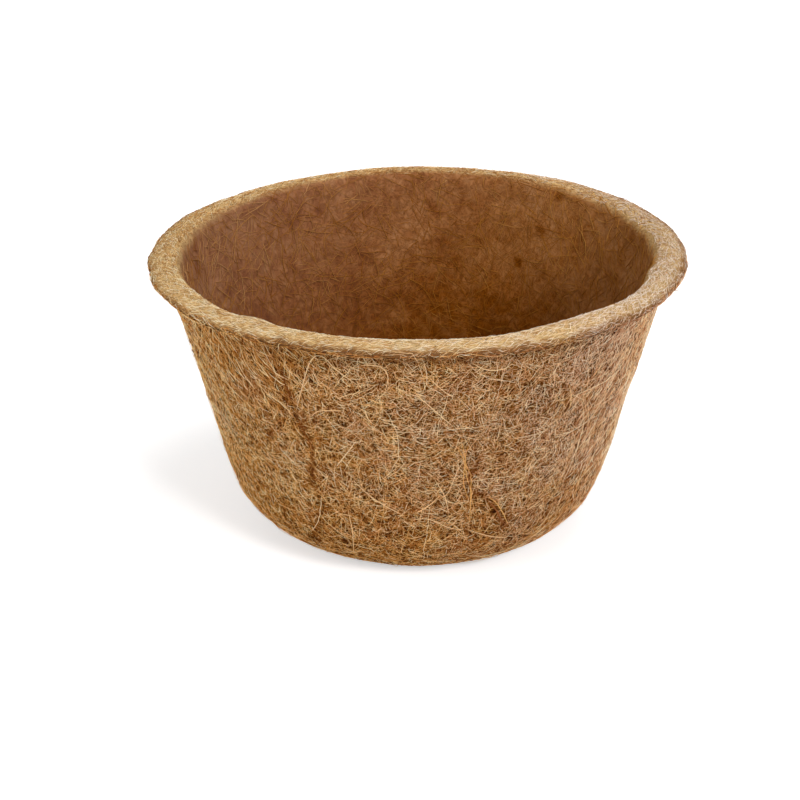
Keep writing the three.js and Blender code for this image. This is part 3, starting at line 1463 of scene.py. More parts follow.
@dataclass(frozen=True)
class Disc:
    """A round of felt that closes a ply in the middle of the base, between two heights."""

    RINGS = 16
    SPOKES = 64

    name: str
    radius: float
    low: float
    high: float

    def felt(self, warp: Warp, finish: bpy.types.Material) -> bpy.types.Object:
        """The disc, closed all round.

        Args:
            warp: How the felt strays from its true shape.
            finish: The felt's material.

        Returns:
            The disc.
        """
        rings = np.linspace(self.radius / self.RINGS, self.radius, self.RINGS)
        under = np.stack((rings, np.full(self.RINGS, self.low)), axis=1)
        over = np.stack((rings[::-1], np.full(self.RINGS, self.high)), axis=1)
        azimuths = np.linspace(0.0, FULL_TURN, self.SPOKES, endpoint=False)
        points = warp.moved(turned(np.concatenate((under, over)), azimuths), 0.0).reshape(-1, 3)
        columns = 2 * self.RINGS
        faces = grid_faces(self.SPOKES, columns, closed=True)
        low, high = len(points), len(points) + 1
        points = np.concatenate((points, [(0.0, 0.0, self.low), (0.0, 0.0, self.high)]))
        for row in range(self.SPOKES):
            here, there = row * columns, (row + 1) % self.SPOKES * columns
            faces.append((here, there, low))
            faces.append((here + columns - 1, there + columns - 1, high))
        piece = mesh_object(self.name + "_felt", points, faces)
        set_attribute(piece, "lay", points * np.array((1.0, 1.0, 0.0)))
        dress(piece, finish)
        return piece


# Strands


@dataclass(frozen=True)
class StrandSizes:
    """The sizes of a mat of strands, which are the strand tree's inputs."""

    density: float
    spacing: float
    shortest: float
    longest: float
    thinnest: float
    thickest: float
    highest: float
    sink: float
    bow: float
    wander: float
    weave: float
    paleness: float
    contrast: float = 0.8
    patchiness: float = 0.9
    # Painted light and shade by depth: how much lighter a strand's raised points are and darker its deep
    # points
    fleck: float = 0.5
    # Painted shade: how much darker the pit strands are, standing for the shaded pinholes between strands
    pits: float = 0.0
    steps: int = 6
    combing: float = 1.0
    sheen: float = 0.0

    def inputs(self) -> dict[str, float | int]:
        """The sizes by the names of the tree's inputs."""
        return {field.name.capitalize(): getattr(self, field.name) for field in fields(self)}


UNDER_MAT = StrandSizes(
    density=6.2 / MM**2, spacing=0.38 * MM, shortest=0.9 * MM, longest=3 * MM, thinnest=0.08 * MM,
    thickest=0.13 * MM, highest=0.2 * MM, sink=0.0, bow=0.0, wander=0.3 * MM, weave=0.4 * MM,
    paleness=0.29, contrast=1.0, patchiness=0.03, fleck=0.4, pits=1.1, steps=2, combing=0.2, sheen=-0.5,
)
OVER_MAT = StrandSizes(
    density=1.72 / MM**2, spacing=0.72 * MM, shortest=2 * MM, longest=8 * MM, thinnest=0.055 * MM,
    thickest=0.09 * MM, highest=0.2 * MM, sink=0.25 * MM, bow=80.0, wander=0.25 * MM, weave=0.3 * MM,
    paleness=0.19, contrast=0.85, patchiness=0.03, fleck=0.45, pits=0.45, steps=4, sheen=0.08,
)
LOOSE_MAT = StrandSizes(
    density=0.05 / MM**2, spacing=3 * MM, shortest=8 * MM, longest=30 * MM, thinnest=0.05 * MM,
    thickest=0.085 * MM, highest=0.6 * MM, sink=0.4 * MM, bow=70.0, wander=1.0 * MM, weave=0.4 * MM,
    paleness=0.2, patchiness=0.2, fleck=0.3, steps=13,
)
LIP_MAT = StrandSizes(
    density=5 / MM**2, spacing=0.42 * MM, shortest=1.2 * MM, longest=3.6 * MM, thinnest=0.045 * MM,
    thickest=0.075 * MM, highest=0.15 * MM, sink=0.1 * MM, bow=50.0, wander=0.25 * MM, weave=0.35 * MM,
    paleness=0.22, contrast=1.2, patchiness=0.3, fleck=0.45, pits=0.4, steps=3,
)
INNER_MAT = StrandSizes(
    density=0.3 / MM**2, spacing=1.2 * MM, shortest=4 * MM, longest=16 * MM, thinnest=0.065 * MM,
    thickest=0.12 * MM, highest=0.2 * MM, sink=0.2 * MM, bow=130.0, wander=0.7 * MM, weave=0.35 * MM,
    paleness=0.26, contrast=0.22, fleck=0.1, steps=5,
)


class StrandMat:
    """The node tree that lays coir strands over a patch of felt."""

    SIDES = 3

    # How large the patches of one tone, the patches of one hue and a strand's wanderings are
    PATCH_LENGTH = 11 * MM
    HUE_LENGTH = 9 * MM
    HUE_SHIFT = (0.4, 0.7, 0.2)
    WANDER_LENGTH = 3.2 * MM
    PHASES = 100.0

    # How strands differ from each other
    MIDDLE_TONE = 0.5
    STRAY_TONE = 0.4
    # Painted light and shade: strands high in the mat are lighter, low ones darker
    LAYER_TONE = 0.3
    # Painted shade: a share of strands drawn far darker, standing for the shaded pinholes between strands
    PIT_BAND = (0.14, 0.28)
    STRAY_HUE = 0.2
    GIRTH_POWER = 1.7
    REACH_POWER = 2.0
    LAYER_POWER = 2.0
    COMBED_REACH = 0.6
    SWAY = 0.12
    LOOSE_FROM = 0.86
    LOOSE_BAND = 0.14

    # How a strand rises, dips at its ends and tapers
    BED = 0.5
    CROWN_POWER = 0.7
    SINK_POWER = 3.0
    FREE_RISE = 1.6
    FREE_POWER = 5.0
    FLOOR_CLEARANCE = 1.1
    END_GIRTH = 0.5
    TAPER_POWER = 0.5

    def __init__(self, form: bpy.types.Object) -> None:
        """Build the tree.

        Args:
            form: The whole pot's surface, which the strands lie on.
        """
        self.form = form
        kinds = {"Form": bpy.types.Object, "Material": bpy.types.Material, "Seed": int}
        kinds.update({label: type(value) for label, value in UNDER_MAT.inputs().items()})
        self.tree = GeometryTree("coir_strands", kinds)
        curves = self._shaped(self._rooted())
        self.tree.tubes(curves, self.tree.entry["Material"], self.SIDES)

    def _random(self, draw: Draw, low: float = 0.0, high: float = 1.0) -> Wire:
        """A number for each strand.

        Args:
            draw: Which number it is.
            low: The least.
            high: The most.

        Returns:
            The number.
        """
        sockets = {"Min": low, "Max": high, "Seed": self.tree.entry["Seed"] + float(draw.value)}
        return self.tree.make("FunctionNodeRandomValue", {"data_type": "FLOAT"}, sockets)["Value"]

    def _rooted(self) -> Wire:
        """Scatter the strands' middles over the patch and settle each strand's own numbers.

        Returns:
            One straight curve a strand, each point with its strand's numbers.
        """
        tree, entry = self.tree, self.tree.entry
        sockets = {
            "Mesh": entry["Geometry"], "Distance Min": entry["Spacing"], "Density Max": entry["Density"],
            "Density Factor": tree.named("cover"), "Seed": entry["Seed"],
        }
        roots = tree.make("GeometryNodeDistributePointsOnFaces", {"distribute_method": "POISSON"}, sockets)
        normal, position = roots["Normal"], tree.make("GeometryNodeInputPosition").first
        around = tree.vector(0.0, 0.0, 1.0).cross(position).unit()
        climb = normal.cross(around).unit()
        kept = tree.named("comb") * entry["Combing"]
        angle = tree.named("lie") + self._random(Draw.TURN, -0.5, 0.5) * ((1.0 - kept) * math.pi)
        heading = (around * tree.maths("COSINE", angle) + climb * tree.maths("SINE", angle)).unit()
        layer = self._random(Draw.LAYER)
        bow = self._random(Draw.BOW, -1.0, 1.0)
        thickness = (entry["Thickest"] - entry["Thinnest"]) * self._random(Draw.GIRTH) ** self.GIRTH_POWER
        length = (entry["Longest"] - entry["Shortest"]) * self._random(Draw.REACH) ** self.REACH_POWER
        ways = {"root": position, "heading": heading, "side": normal.cross(heading)}
        numbers = {
            "reach": (entry["Shortest"] + length) * (1.0 + kept * self.COMBED_REACH),
            "bow": bow * abs(bow) * entry["Bow"],
            "sway": self._random(Draw.SWAY, -1.0, 1.0) * entry["Bow"] * entry["Bow"] * self.SWAY,
            "lift": entry["Highest"] * layer ** self.LAYER_POWER,
            "girth": tree.named("coarse") * (entry["Thinnest"] + thickness),
            "phase": self._random(Draw.PHASE, 0.0, self.PHASES),
            "loose": (self._random(Draw.LOOSE) - self.LOOSE_FROM).between(0.0, self.LOOSE_BAND),
            "tone": self._tone(position, layer),
            "hue": self._hue(position),
        }
        points = roots["Points"]
        for name, value in ways.items():
            points = tree.stored(points, name, value, "FLOAT_VECTOR")
        for name, value in numbers.items():
            points = tree.stored(points, name, value)
        line = tree.make("GeometryNodeCurvePrimitiveLine")["Curve"]
        line = tree.make("GeometryNodeResampleCurve", {}, {"Curve": line, "Count": entry["Steps"]})["Curve"]
        strands = tree.make("GeometryNodeInstanceOnPoints", {}, {"Points": points, "Instance": line})
        return tree.make("GeometryNodeRealizeInstances", {}, {"Geometry": strands["Instances"]})["Geometry"]

    def _tone(self, position: Wire, layer: Wire) -> Wire:
        """Each strand's tone, by chance, by where it is and by its layer: painted light on strands high in
        the mat, painted shade on low ones and on the pits.

        Args:
            position: Where it is rooted.
            layer: How high it lies in the mat, from 0 to 1.

        Returns:
            The tone, from 0 to 1.
        """
        tree, entry = self.tree, self.tree.entry
        patch = tree.noise(position, self.PATCH_LENGTH, 2.0)
        stray = self._random(Draw.TONE, -1.0, 1.0)
        own = stray * abs(stray) * self.STRAY_TONE + (layer - 0.5) * self.LAYER_TONE
        tone = self.MIDDLE_TONE + own * entry["Contrast"]
        # bright carries the painted light and shade that Lay sets for each place
        tone = tone + (patch - 0.5) * entry["Patchiness"] + entry["Paleness"] + tree.named("bright")
        # Pits are painted shade for the pinholes between strands
        tone = tone - self._random(Draw.PIT).between(*self.PIT_BAND, 1.0, 0.0) * entry["Pits"]
        return (tone + tree.named("comb") * entry["Sheen"]).held()

    def _hue(self, position: Wire) -> Wire:
        """Each strand's hue, from golden at 0 to rosy at 1."""
        patch = self.tree.noise(position.offset(self.HUE_SHIFT), self.HUE_LENGTH, 1.0)
        stray = self._random(Draw.HUE, -self.STRAY_HUE, self.STRAY_HUE)
        return (self.tree.named("warmth") + (patch - 0.5) + stray).held()

    def _shaped(self, strands: Wire) -> Wire:
        """Bow each strand, lay it on the pot's surface and sink its ends.

        Args:
            strands: One straight curve a strand.

        Returns:
            The strands' centre lines, with girth, tone and hue.
        """
        tree, entry = self.tree, self.tree.entry
        share = tree.make("GeometryNodeSplineParameter")["Factor"]
        along = (share - 0.5) * tree.named("reach")
        wave_sockets = {
            "Vector": tree.vector(along / self.WANDER_LENGTH), "W": tree.named("phase"), "Scale": 1.0,
            "Detail": 1.0,
        }
        wave = tree.make("ShaderNodeTexNoise", {"noise_dimensions": "4D"}, wave_sockets)["Color"]
        wave = tree.parts(wave)
        bow = tree.named("bow")
        ahead = along - bow * bow * along * along * along / 6.0
        aside = bow * along * along / 2.0 + tree.named("sway") * along * along * along
        aside = aside + (wave["X"] - 0.5) * entry["Wander"] * 2.0
        heading, side = tree.named("heading", "FLOAT_VECTOR"), tree.named("side", "FLOAT_VECTOR")
        place = tree.named("root", "FLOAT_VECTOR") + heading * ahead + side * aside
        form = tree.make("GeometryNodeObjectInfo", {}, {"Object": entry["Form"]})["Geometry"]
        near_sockets = {"Geometry": form, "Sample Position": place}
        ground = tree.make("GeometryNodeProximity", {"target_element": "FACES"}, near_sockets)["Position"]
        normal = tree.make("GeometryNodeInputNormal")["Normal"]
        up = tree.nearest(form, normal, place, "FLOAT_VECTOR").unit()
        inner = share * (1.0 - share) * 4.0
        girth, loose = tree.named("girth"), tree.named("loose")
        rise = girth * self.BED + tree.named("lift") * inner ** self.CROWN_POWER
        rise = rise + (wave["Y"] - 0.5) * entry["Weave"]
        rise = rise - (1.0 - loose) * entry["Sink"] * (1.0 - inner) ** self.SINK_POWER
        rise = rise + loose * entry["Highest"] * share ** self.FREE_POWER * self.FREE_RISE
        lain = tree.parts(ground + up * rise)
        above = tree.vector(lain["X"], lain["Y"], lain["Z"].larger(girth * self.FLOOR_CLEARANCE))
        moved = tree.make("GeometryNodeSetPosition", {}, {"Geometry": strands, "Position": above})["Geometry"]
        # Painted light and shade: points high in the mat are lighter, deep ones darker; the form's shade adds
        # painted shade in creases and round the lip, and the inside's real stains
        shade = tree.nearest(form, tree.named("shade"), place, "FLOAT")
        tone = tree.named("tone") + ((rise / entry["Highest"]).held() - 0.5) * entry["Fleck"] - shade
        toned = tree.stored(moved, "tone", tone.held())
        taper = self.END_GIRTH + (1.0 - self.END_GIRTH) * inner ** self.TAPER_POWER
        return tree.stored(toned, "girth", girth * taper)

    def laid(
        self, patch: bpy.types.Object, sizes: StrandSizes, finish: bpy.types.Material, seed: int
    ) -> bpy.types.Object:
        """Lay strands over a patch, which becomes them.

        Args:
            patch: The felt's face, with lie, comb, cover, warmth, bright and coarse on its vertices.
            sizes: The strands' sizes.
            finish: Their material.
            seed: Of their random draw.

        Returns:
            The strands.
        """
        values = {"Form": self.form, "Material": finish, "Seed": seed, **sizes.inputs()}
        return self.tree.grown(patch, values)


@dataclass(frozen=True)
class Cover:
    """One mat of strands: its sizes, its finish, the side it lies on and the seed of its draw."""

    name: str
    sizes: StrandSizes
    finish: StrandFinish
    slot: Slot
    side: Side
    seed: int


GORE_COVERS = (
    Cover("under_strands", UNDER_MAT, OUTER_STRANDS, Slot.OUTER, Side.OUTSIDE, 100),
    Cover("over_strands", OVER_MAT, OUTER_STRANDS, Slot.OUTER, Side.OUTSIDE, 120),
    Cover("loose_strands", LOOSE_MAT, OUTER_STRANDS, Slot.OUTER, Side.OUTSIDE, 150),
    Cover("lip_strands", LIP_MAT, LIP_STRANDS, Slot.INNER, Side.LIP, 200),
    Cover("inner_strands", INNER_MAT, INNER_STRANDS, Slot.INNER, Side.INSIDE, 300),
)
BASE_COVER = Cover("base_strands", UNDER_MAT, OUTER_STRANDS, Slot.BASE, Side.OUTSIDE, 400)
FLOOR_COVER = Cover("floor_strands", INNER_MAT, INNER_STRANDS, Slot.INNER, Side.INSIDE, 500)


# The studio


@dataclass(frozen=True)
class Lamp:
    """A square soft lamp that faces the pot: where it hangs, how wide it is and its power in watts."""

    name: str
    place: Place
    side: float
    power: float

    def hang(self) -> None:
        """Put the lamp in the scene."""
        lamp = bpy.data.lights.new(self.name, "AREA")
        lamp.size = self.side
        lamp.energy = self.power
        holder = bpy.data.objects.new(self.name, lamp)
        holder.location = self.place
        holder.rotation_euler = (-Vector(self.place)).to_track_quat("-Z", "Y").to_euler()
        bpy.context.scene.collection.objects.link(holder)


@dataclass(frozen=True)
class Studio:
    """A pale floor, soft light and a camera at the photograph's angle."""

    elevation: float = math.radians(24.16)
    distance: float = 600 * MM
    aim_height: float = 34.5 * MM
    aside: float = -4.9 * MM
    lens: float = 93.25
    sensor: float = 36.0
    nearest: float = 10 * MM
    floor_side: float = 8.0
    floor_colour: Colour = (0.86, 0.86, 0.86)
    floor_glow: float = 0.5
    sky: float = 0.4
    lamps: tuple[Lamp, ...] = (
        Lamp("key", (0.55, -0.9, 0.7), 0.35, 9.5),
        Lamp("fill", (-0.85, -0.7, 0.5), 0.8, 5.0),
        Lamp("top", (0.25, 0.0, 1.2), 0.5, 4.5),
    )

    @property
    def eye(self) -> np.ndarray:
        """Where the camera stands."""
        back, up = math.cos(self.elevation), math.sin(self.elevation)
        return np.array((self.aside, -self.distance * back, self.aim_height + self.distance * up))

    def ray(self, pixel: Pixel) -> np.ndarray:
        """The way that the camera looks through a pixel of the photograph."""
        back, up = math.cos(self.elevation), math.sin(self.elevation)
        reach = self.lens / self.sensor * PHOTO_SIDE
        right = pixel[0] - PHOTO_SIDE / 2
        rise = PHOTO_SIDE / 2 - pixel[1]
        way = np.array((right, reach * back + rise * up, -reach * up + rise * back))
        return way / np.linalg.norm(way)

    def cast(self, surface: BVHTree, pixel: Pixel) -> tuple[Vector, Vector]:
        """Where a surface shows at a pixel of the photograph, and the way that it faces there."""
        place, normal, *_ = surface.ray_cast(Vector(self.eye), Vector(self.ray(pixel)))
        return place, normal

    def build(self) -> None:
        """Make the camera, the floor, the sky and the lamps."""
        scene = bpy.context.scene
        scene.view_settings.view_transform = "Standard"
        camera = bpy.data.cameras.new("camera")
        camera.lens = self.lens
        camera.sensor_width = self.sensor
        camera.clip_start = self.nearest
        holder = bpy.data.objects.new("camera", camera)
        holder.location = self.eye
        holder.rotation_euler = (math.pi / 2 - self.elevation, 0.0, 0.0)
        scene.collection.objects.link(holder)
        scene.camera = holder
        self._floor()
        self._sky()
        for lamp in self.lamps:
            lamp.hang()

    def _floor(self) -> None:
        """Make the floor, which is white to the camera and still takes the pot's shadow."""
        half = self.floor_side / 2
        corners = np.array([(-half, -half, 0.0), (half, -half, 0.0), (half, half, 0.0), (-half, half, 0.0)])
        floor = mesh_object("floor", corners, [(0, 1, 2, 3)])
        floor.data.materials.append(dressed_material("floor", self._fill_floor))

    def _fill_floor(self, tree: ShaderTree) -> None:
        """Add the floor's nodes.

        Args:
            tree: The material's tree.
        """
        matt = tree.make("ShaderNodeBsdfDiffuse", {}, {"Color": (*self.floor_colour, 1.0)})["BSDF"]
        glow = tree.make("ShaderNodeEmission", {}, {"Strength": tree.seen() * self.floor_glow})["Emission"]
        both = tree.make("ShaderNodeAddShader", {}, {0: matt, 1: glow})["Shader"]
        tree.make("ShaderNodeOutputMaterial", {}, {"Surface": both})

    def _sky(self) -> None:
        """Light the pot evenly from all round, with white behind it."""
        world = bpy.data.worlds.new("studio")
        bpy.context.scene.world = world
        world.use_nodes = True
        tree = ShaderTree(world.node_tree)
        strength = self.sky + tree.seen() * (1.0 - self.sky)
        shader = tree.make("ShaderNodeBackground", {}, {"Color": (1.0, 1.0, 1.0, 1.0), "Strength": strength})
        tree.make("ShaderNodeOutputWorld", {}, {"Surface": shader["Background"]})


# Long strands


@dataclass(frozen=True)
class LongStrand:
    """A long strand on the outside, by the photograph's pixels that it passes."""

    pixels: tuple[Pixel, ...]
    tone: float = 0.85
    hue: float = 0.35
    girth: float = 0.105 * MM
    lift: float = 0.5 * MM


def curve_through(waypoints: Sequence[Pixel], step: float) -> np.ndarray:
    """A smooth path through waypoints.

    Args:
        waypoints: What it passes, in order.
        step: About how far apart its points are.

    Returns:
        The path's points, one a row.
    """
    knots = np.array(waypoints, dtype=float)
    ends = np.concatenate(([2 * knots[0] - knots[1]], knots, [2 * knots[-1] - knots[-2]]))
    path = [knots[:1]]
    for before, start, end, after in zip(ends, ends[1:], ends[2:], ends[3:]):
        count = max(2, round(float(np.linalg.norm(end - start)) / step))
        t = np.linspace(0.0, 1.0, count + 1)[1:, None]
        slope, leave = (end - before) / 2, (after - start) / 2
        path.append(
            (2 * t**3 - 3 * t**2 + 1) * start + (t**3 - 2 * t**2 + t) * slope
            + (3 * t**2 - 2 * t**3) * end + (t**3 - t**2) * leave
        )
    return np.concatenate(path)


class LongStrands:
    """The node tree that gives long strands their thickness, and the lines that it starts from."""

    PIXEL_STEP = 3.0
    SIDES = 5

    # How a strand dips, thins and darkens at its ends; the darkening is painted shade where the ends dip into
    # the mat
    END_DIP = 0.4
    RISE_POWER = 0.4
    END_GIRTH = 0.45
    TAPER_POWER = 0.5
    END_DARK = 0.25
    DARK_POWER = 4

    def __init__(self, surface: BVHTree, studio: Studio) -> None:
        """Build the tree.

        Args:
            surface: The pot's surface, which the strands lie on.
            studio: Whose camera places the strands.
        """
        self.surface = surface
        self.studio = studio
        self.tree = GeometryTree("long_strands", {"Material": bpy.types.Material})
        curves = self.tree.make("GeometryNodeMeshToCurve", {}, {"Mesh": self.tree.entry["Geometry"]})["Curve"]
        self.tree.tubes(curves, self.tree.entry["Material"], self.SIDES)

    def laid(self, name: str, strands: Sequence[LongStrand], finish: bpy.types.Material) -> bpy.types.Object:
        """Lay long strands over the outside.

        Args:
            name: What the piece is called.
            strands: The strands.
            finish: Their material.

        Returns:
            The strands as one piece.
        """
        points, edges, girths, tones, hues = [], [], [], [], []
        for strand in strands:
            route = curve_through(strand.pixels, self.PIXEL_STEP)
            first = len(points)
            for share, pixel in zip(np.linspace(0.0, 1.0, len(route)), route):
                place, normal = self.studio.cast(self.surface, pixel)
                inner = 4 * share * (1 - share)
                rise = (1 + self.END_DIP) * inner**self.RISE_POWER - self.END_DIP
                points.append(tuple(place + normal * strand.lift * rise))
                taper = self.END_GIRTH + (1 - self.END_GIRTH) * inner**self.TAPER_POWER
                girths.append(strand.girth * taper)
                tones.append(strand.tone - self.END_DARK * (1 - inner) ** self.DARK_POWER)
                hues.append(strand.hue)
            edges += [(number, number + 1) for number in range(first, len(points) - 1)]
        piece = mesh_object(name, np.array(points), [], edges)
        for label, values in {"girth": girths, "tone": tones, "hue": hues}.items():
            set_attribute(piece, label, np.array(values))
        return self.tree.grown(piece, {"Material": finish})


# What the photograph shows, by its pixels


CREASE_POINTS = 60
LEFT_SEAM_TOP = ((280, 367), (287, 386), (294, 412), (306, 435), (313, 447), (311, 482))
LEFT_SEAM_LOW = ((311, 482), (322, 500), (319, 520), (313, 538))
RIGHT_SEAM = ((513, 354), (515, 384), (510, 412), (496, 460))
RIGHT_CRACK_TOP = ((477, 465), (473, 472), (468, 479), (469, 485), (473, 492), (483, 496))
RIGHT_CRACK_LOW = ((483, 496), (494, 506), (500, 517), (507, 527))
RIGHT_FOLD = ((564, 386), (566, 398), (568, 409))
# Each crease's dark is partly the felt showing in it and partly painted shade in its groove
CREASES = (
    Crease(LEFT_SEAM_TOP, 0.9 * MM, 0.5 * MM, 0.9, 0.6),
    Crease(LEFT_SEAM_LOW, 0.4 * MM, 0.5 * MM, 0.7, 0.3),
    Crease(RIGHT_SEAM, 0.4 * MM, 0.7 * MM, 0.5, 0.1),
    Crease(RIGHT_CRACK_TOP, 0.6 * MM, 0.6 * MM, 0.9, 0.5),
    Crease(RIGHT_CRACK_LOW, 0.6 * MM, 0.8 * MM, 0.7, 0.25),
    Crease(RIGHT_FOLD, 0.4 * MM, 0.45 * MM, 0.8, 0.8),
)

# The four seams that the photograph doesn't show, by the number of the gore before each
UNSEEN_SEAMS = (1, 2, 3, 4)
UNSEEN_CREASE = Crease((), 0.4 * MM, 0.8 * MM, 0.6, 0.2)
SEAM_DRIFT = PlaneWaves(seed=15, count=6, shortest=25 * MM, longest=60 * MM, height=1.6 * MM)

STAINS = (
    Stain((275, 200), 1.5 * MM, 0.4), Stain((319, 210), 1.5 * MM, 0.4), Stain((292, 225), 1.8 * MM, 0.25),
    Stain((195, 247), 1.6 * MM, 0.5), Stain((197, 268), 1.6 * MM, 0.5), Stain((229, 291), 1.6 * MM, 0.35),
    Stain((435, 210), 1.6 * MM, 0.3), Stain((518, 262), 1.5 * MM, 0.4), Stain((541, 230), 2 * MM, 0.3),
    Stain((557, 197), 1.8 * MM, 0.3), Stain((257, 310), 2.4 * MM, 0.25), Stain((290, 262), 3 * MM, 0.12),
)
LONG_STRANDS = (
    LongStrand(((296, 412), (310, 363), (322, 355), (337, 369), (362, 388)), 0.9),
    LongStrand(((359, 365), (379, 365), (388, 375), (385, 392)), 0.85),
    LongStrand(((356, 441), (336, 467)), 1.0),
    LongStrand(((414, 392), (434, 409), (454, 427)), 0.9),
    LongStrand(((429, 377), (441, 388), (454, 398)), 0.85),
    LongStrand(((311, 417), (320, 410), (343, 410)), 0.85),
    LongStrand(((336, 399), (348, 394), (360, 392)), 0.85),
    LongStrand(((348, 509), (353, 530), (354, 555)), 0.8),
    LongStrand(((322, 494), (320, 517), (311, 532)), 0.9),
    LongStrand(((353, 480), (375, 498), (403, 515)), 0.85),
    LongStrand(((409, 520), (428, 518), (450, 527), (466, 529)), 0.85),
    LongStrand(((434, 478), (444, 494), (449, 514)), 0.85),
    LongStrand(((441, 494), (428, 505), (414, 514)), 0.8),
    LongStrand(((472, 363), (487, 369), (503, 368), (513, 363)), 0.9),
    LongStrand(((461, 438), (465, 459), (466, 475), (470, 495), (469, 525)), 0.72, 0.0),
    LongStrand(((457, 446), (464, 462), (463, 480), (468, 500)), 0.66, 0.0),
    LongStrand(((469, 442), (465, 460), (471, 477), (471, 497), (477, 516)), 0.62, 0.1),
    LongStrand(((488, 497), (494, 500), (501, 509), (508, 524)), 0.75, 0.0),
    LongStrand(((475, 484), (480, 488), (487, 487), (489, 483)), 0.85),
    LongStrand(((466, 529), (490, 535), (508, 537)), 0.85),
    LongStrand(((569, 384), (570, 396), (569, 410)), 0.8),
    # Dark strands along the right crack and the upper left seam: partly the darker felt there, partly painted
    # shade in the grooves
    LongStrand(((479, 462), (474, 470), (468, 478), (469, 485), (474, 492), (484, 496)), 0.2, 0.7, 0.12 * MM),
    LongStrand(((482, 495), (493, 505), (500, 516), (507, 528)), 0.26, 0.7, 0.13 * MM),
    LongStrand(((486, 499), (495, 509), (499, 519), (503, 526)), 0.22, 0.7, 0.12 * MM),
    LongStrand(((283, 372), (287, 386), (292, 402)), 0.16, 0.3, 0.14 * MM),
    LongStrand(((296, 414), (306, 434), (312, 446), (312, 456)), 0.2, 0.3, 0.13 * MM),
)


# The whole pot


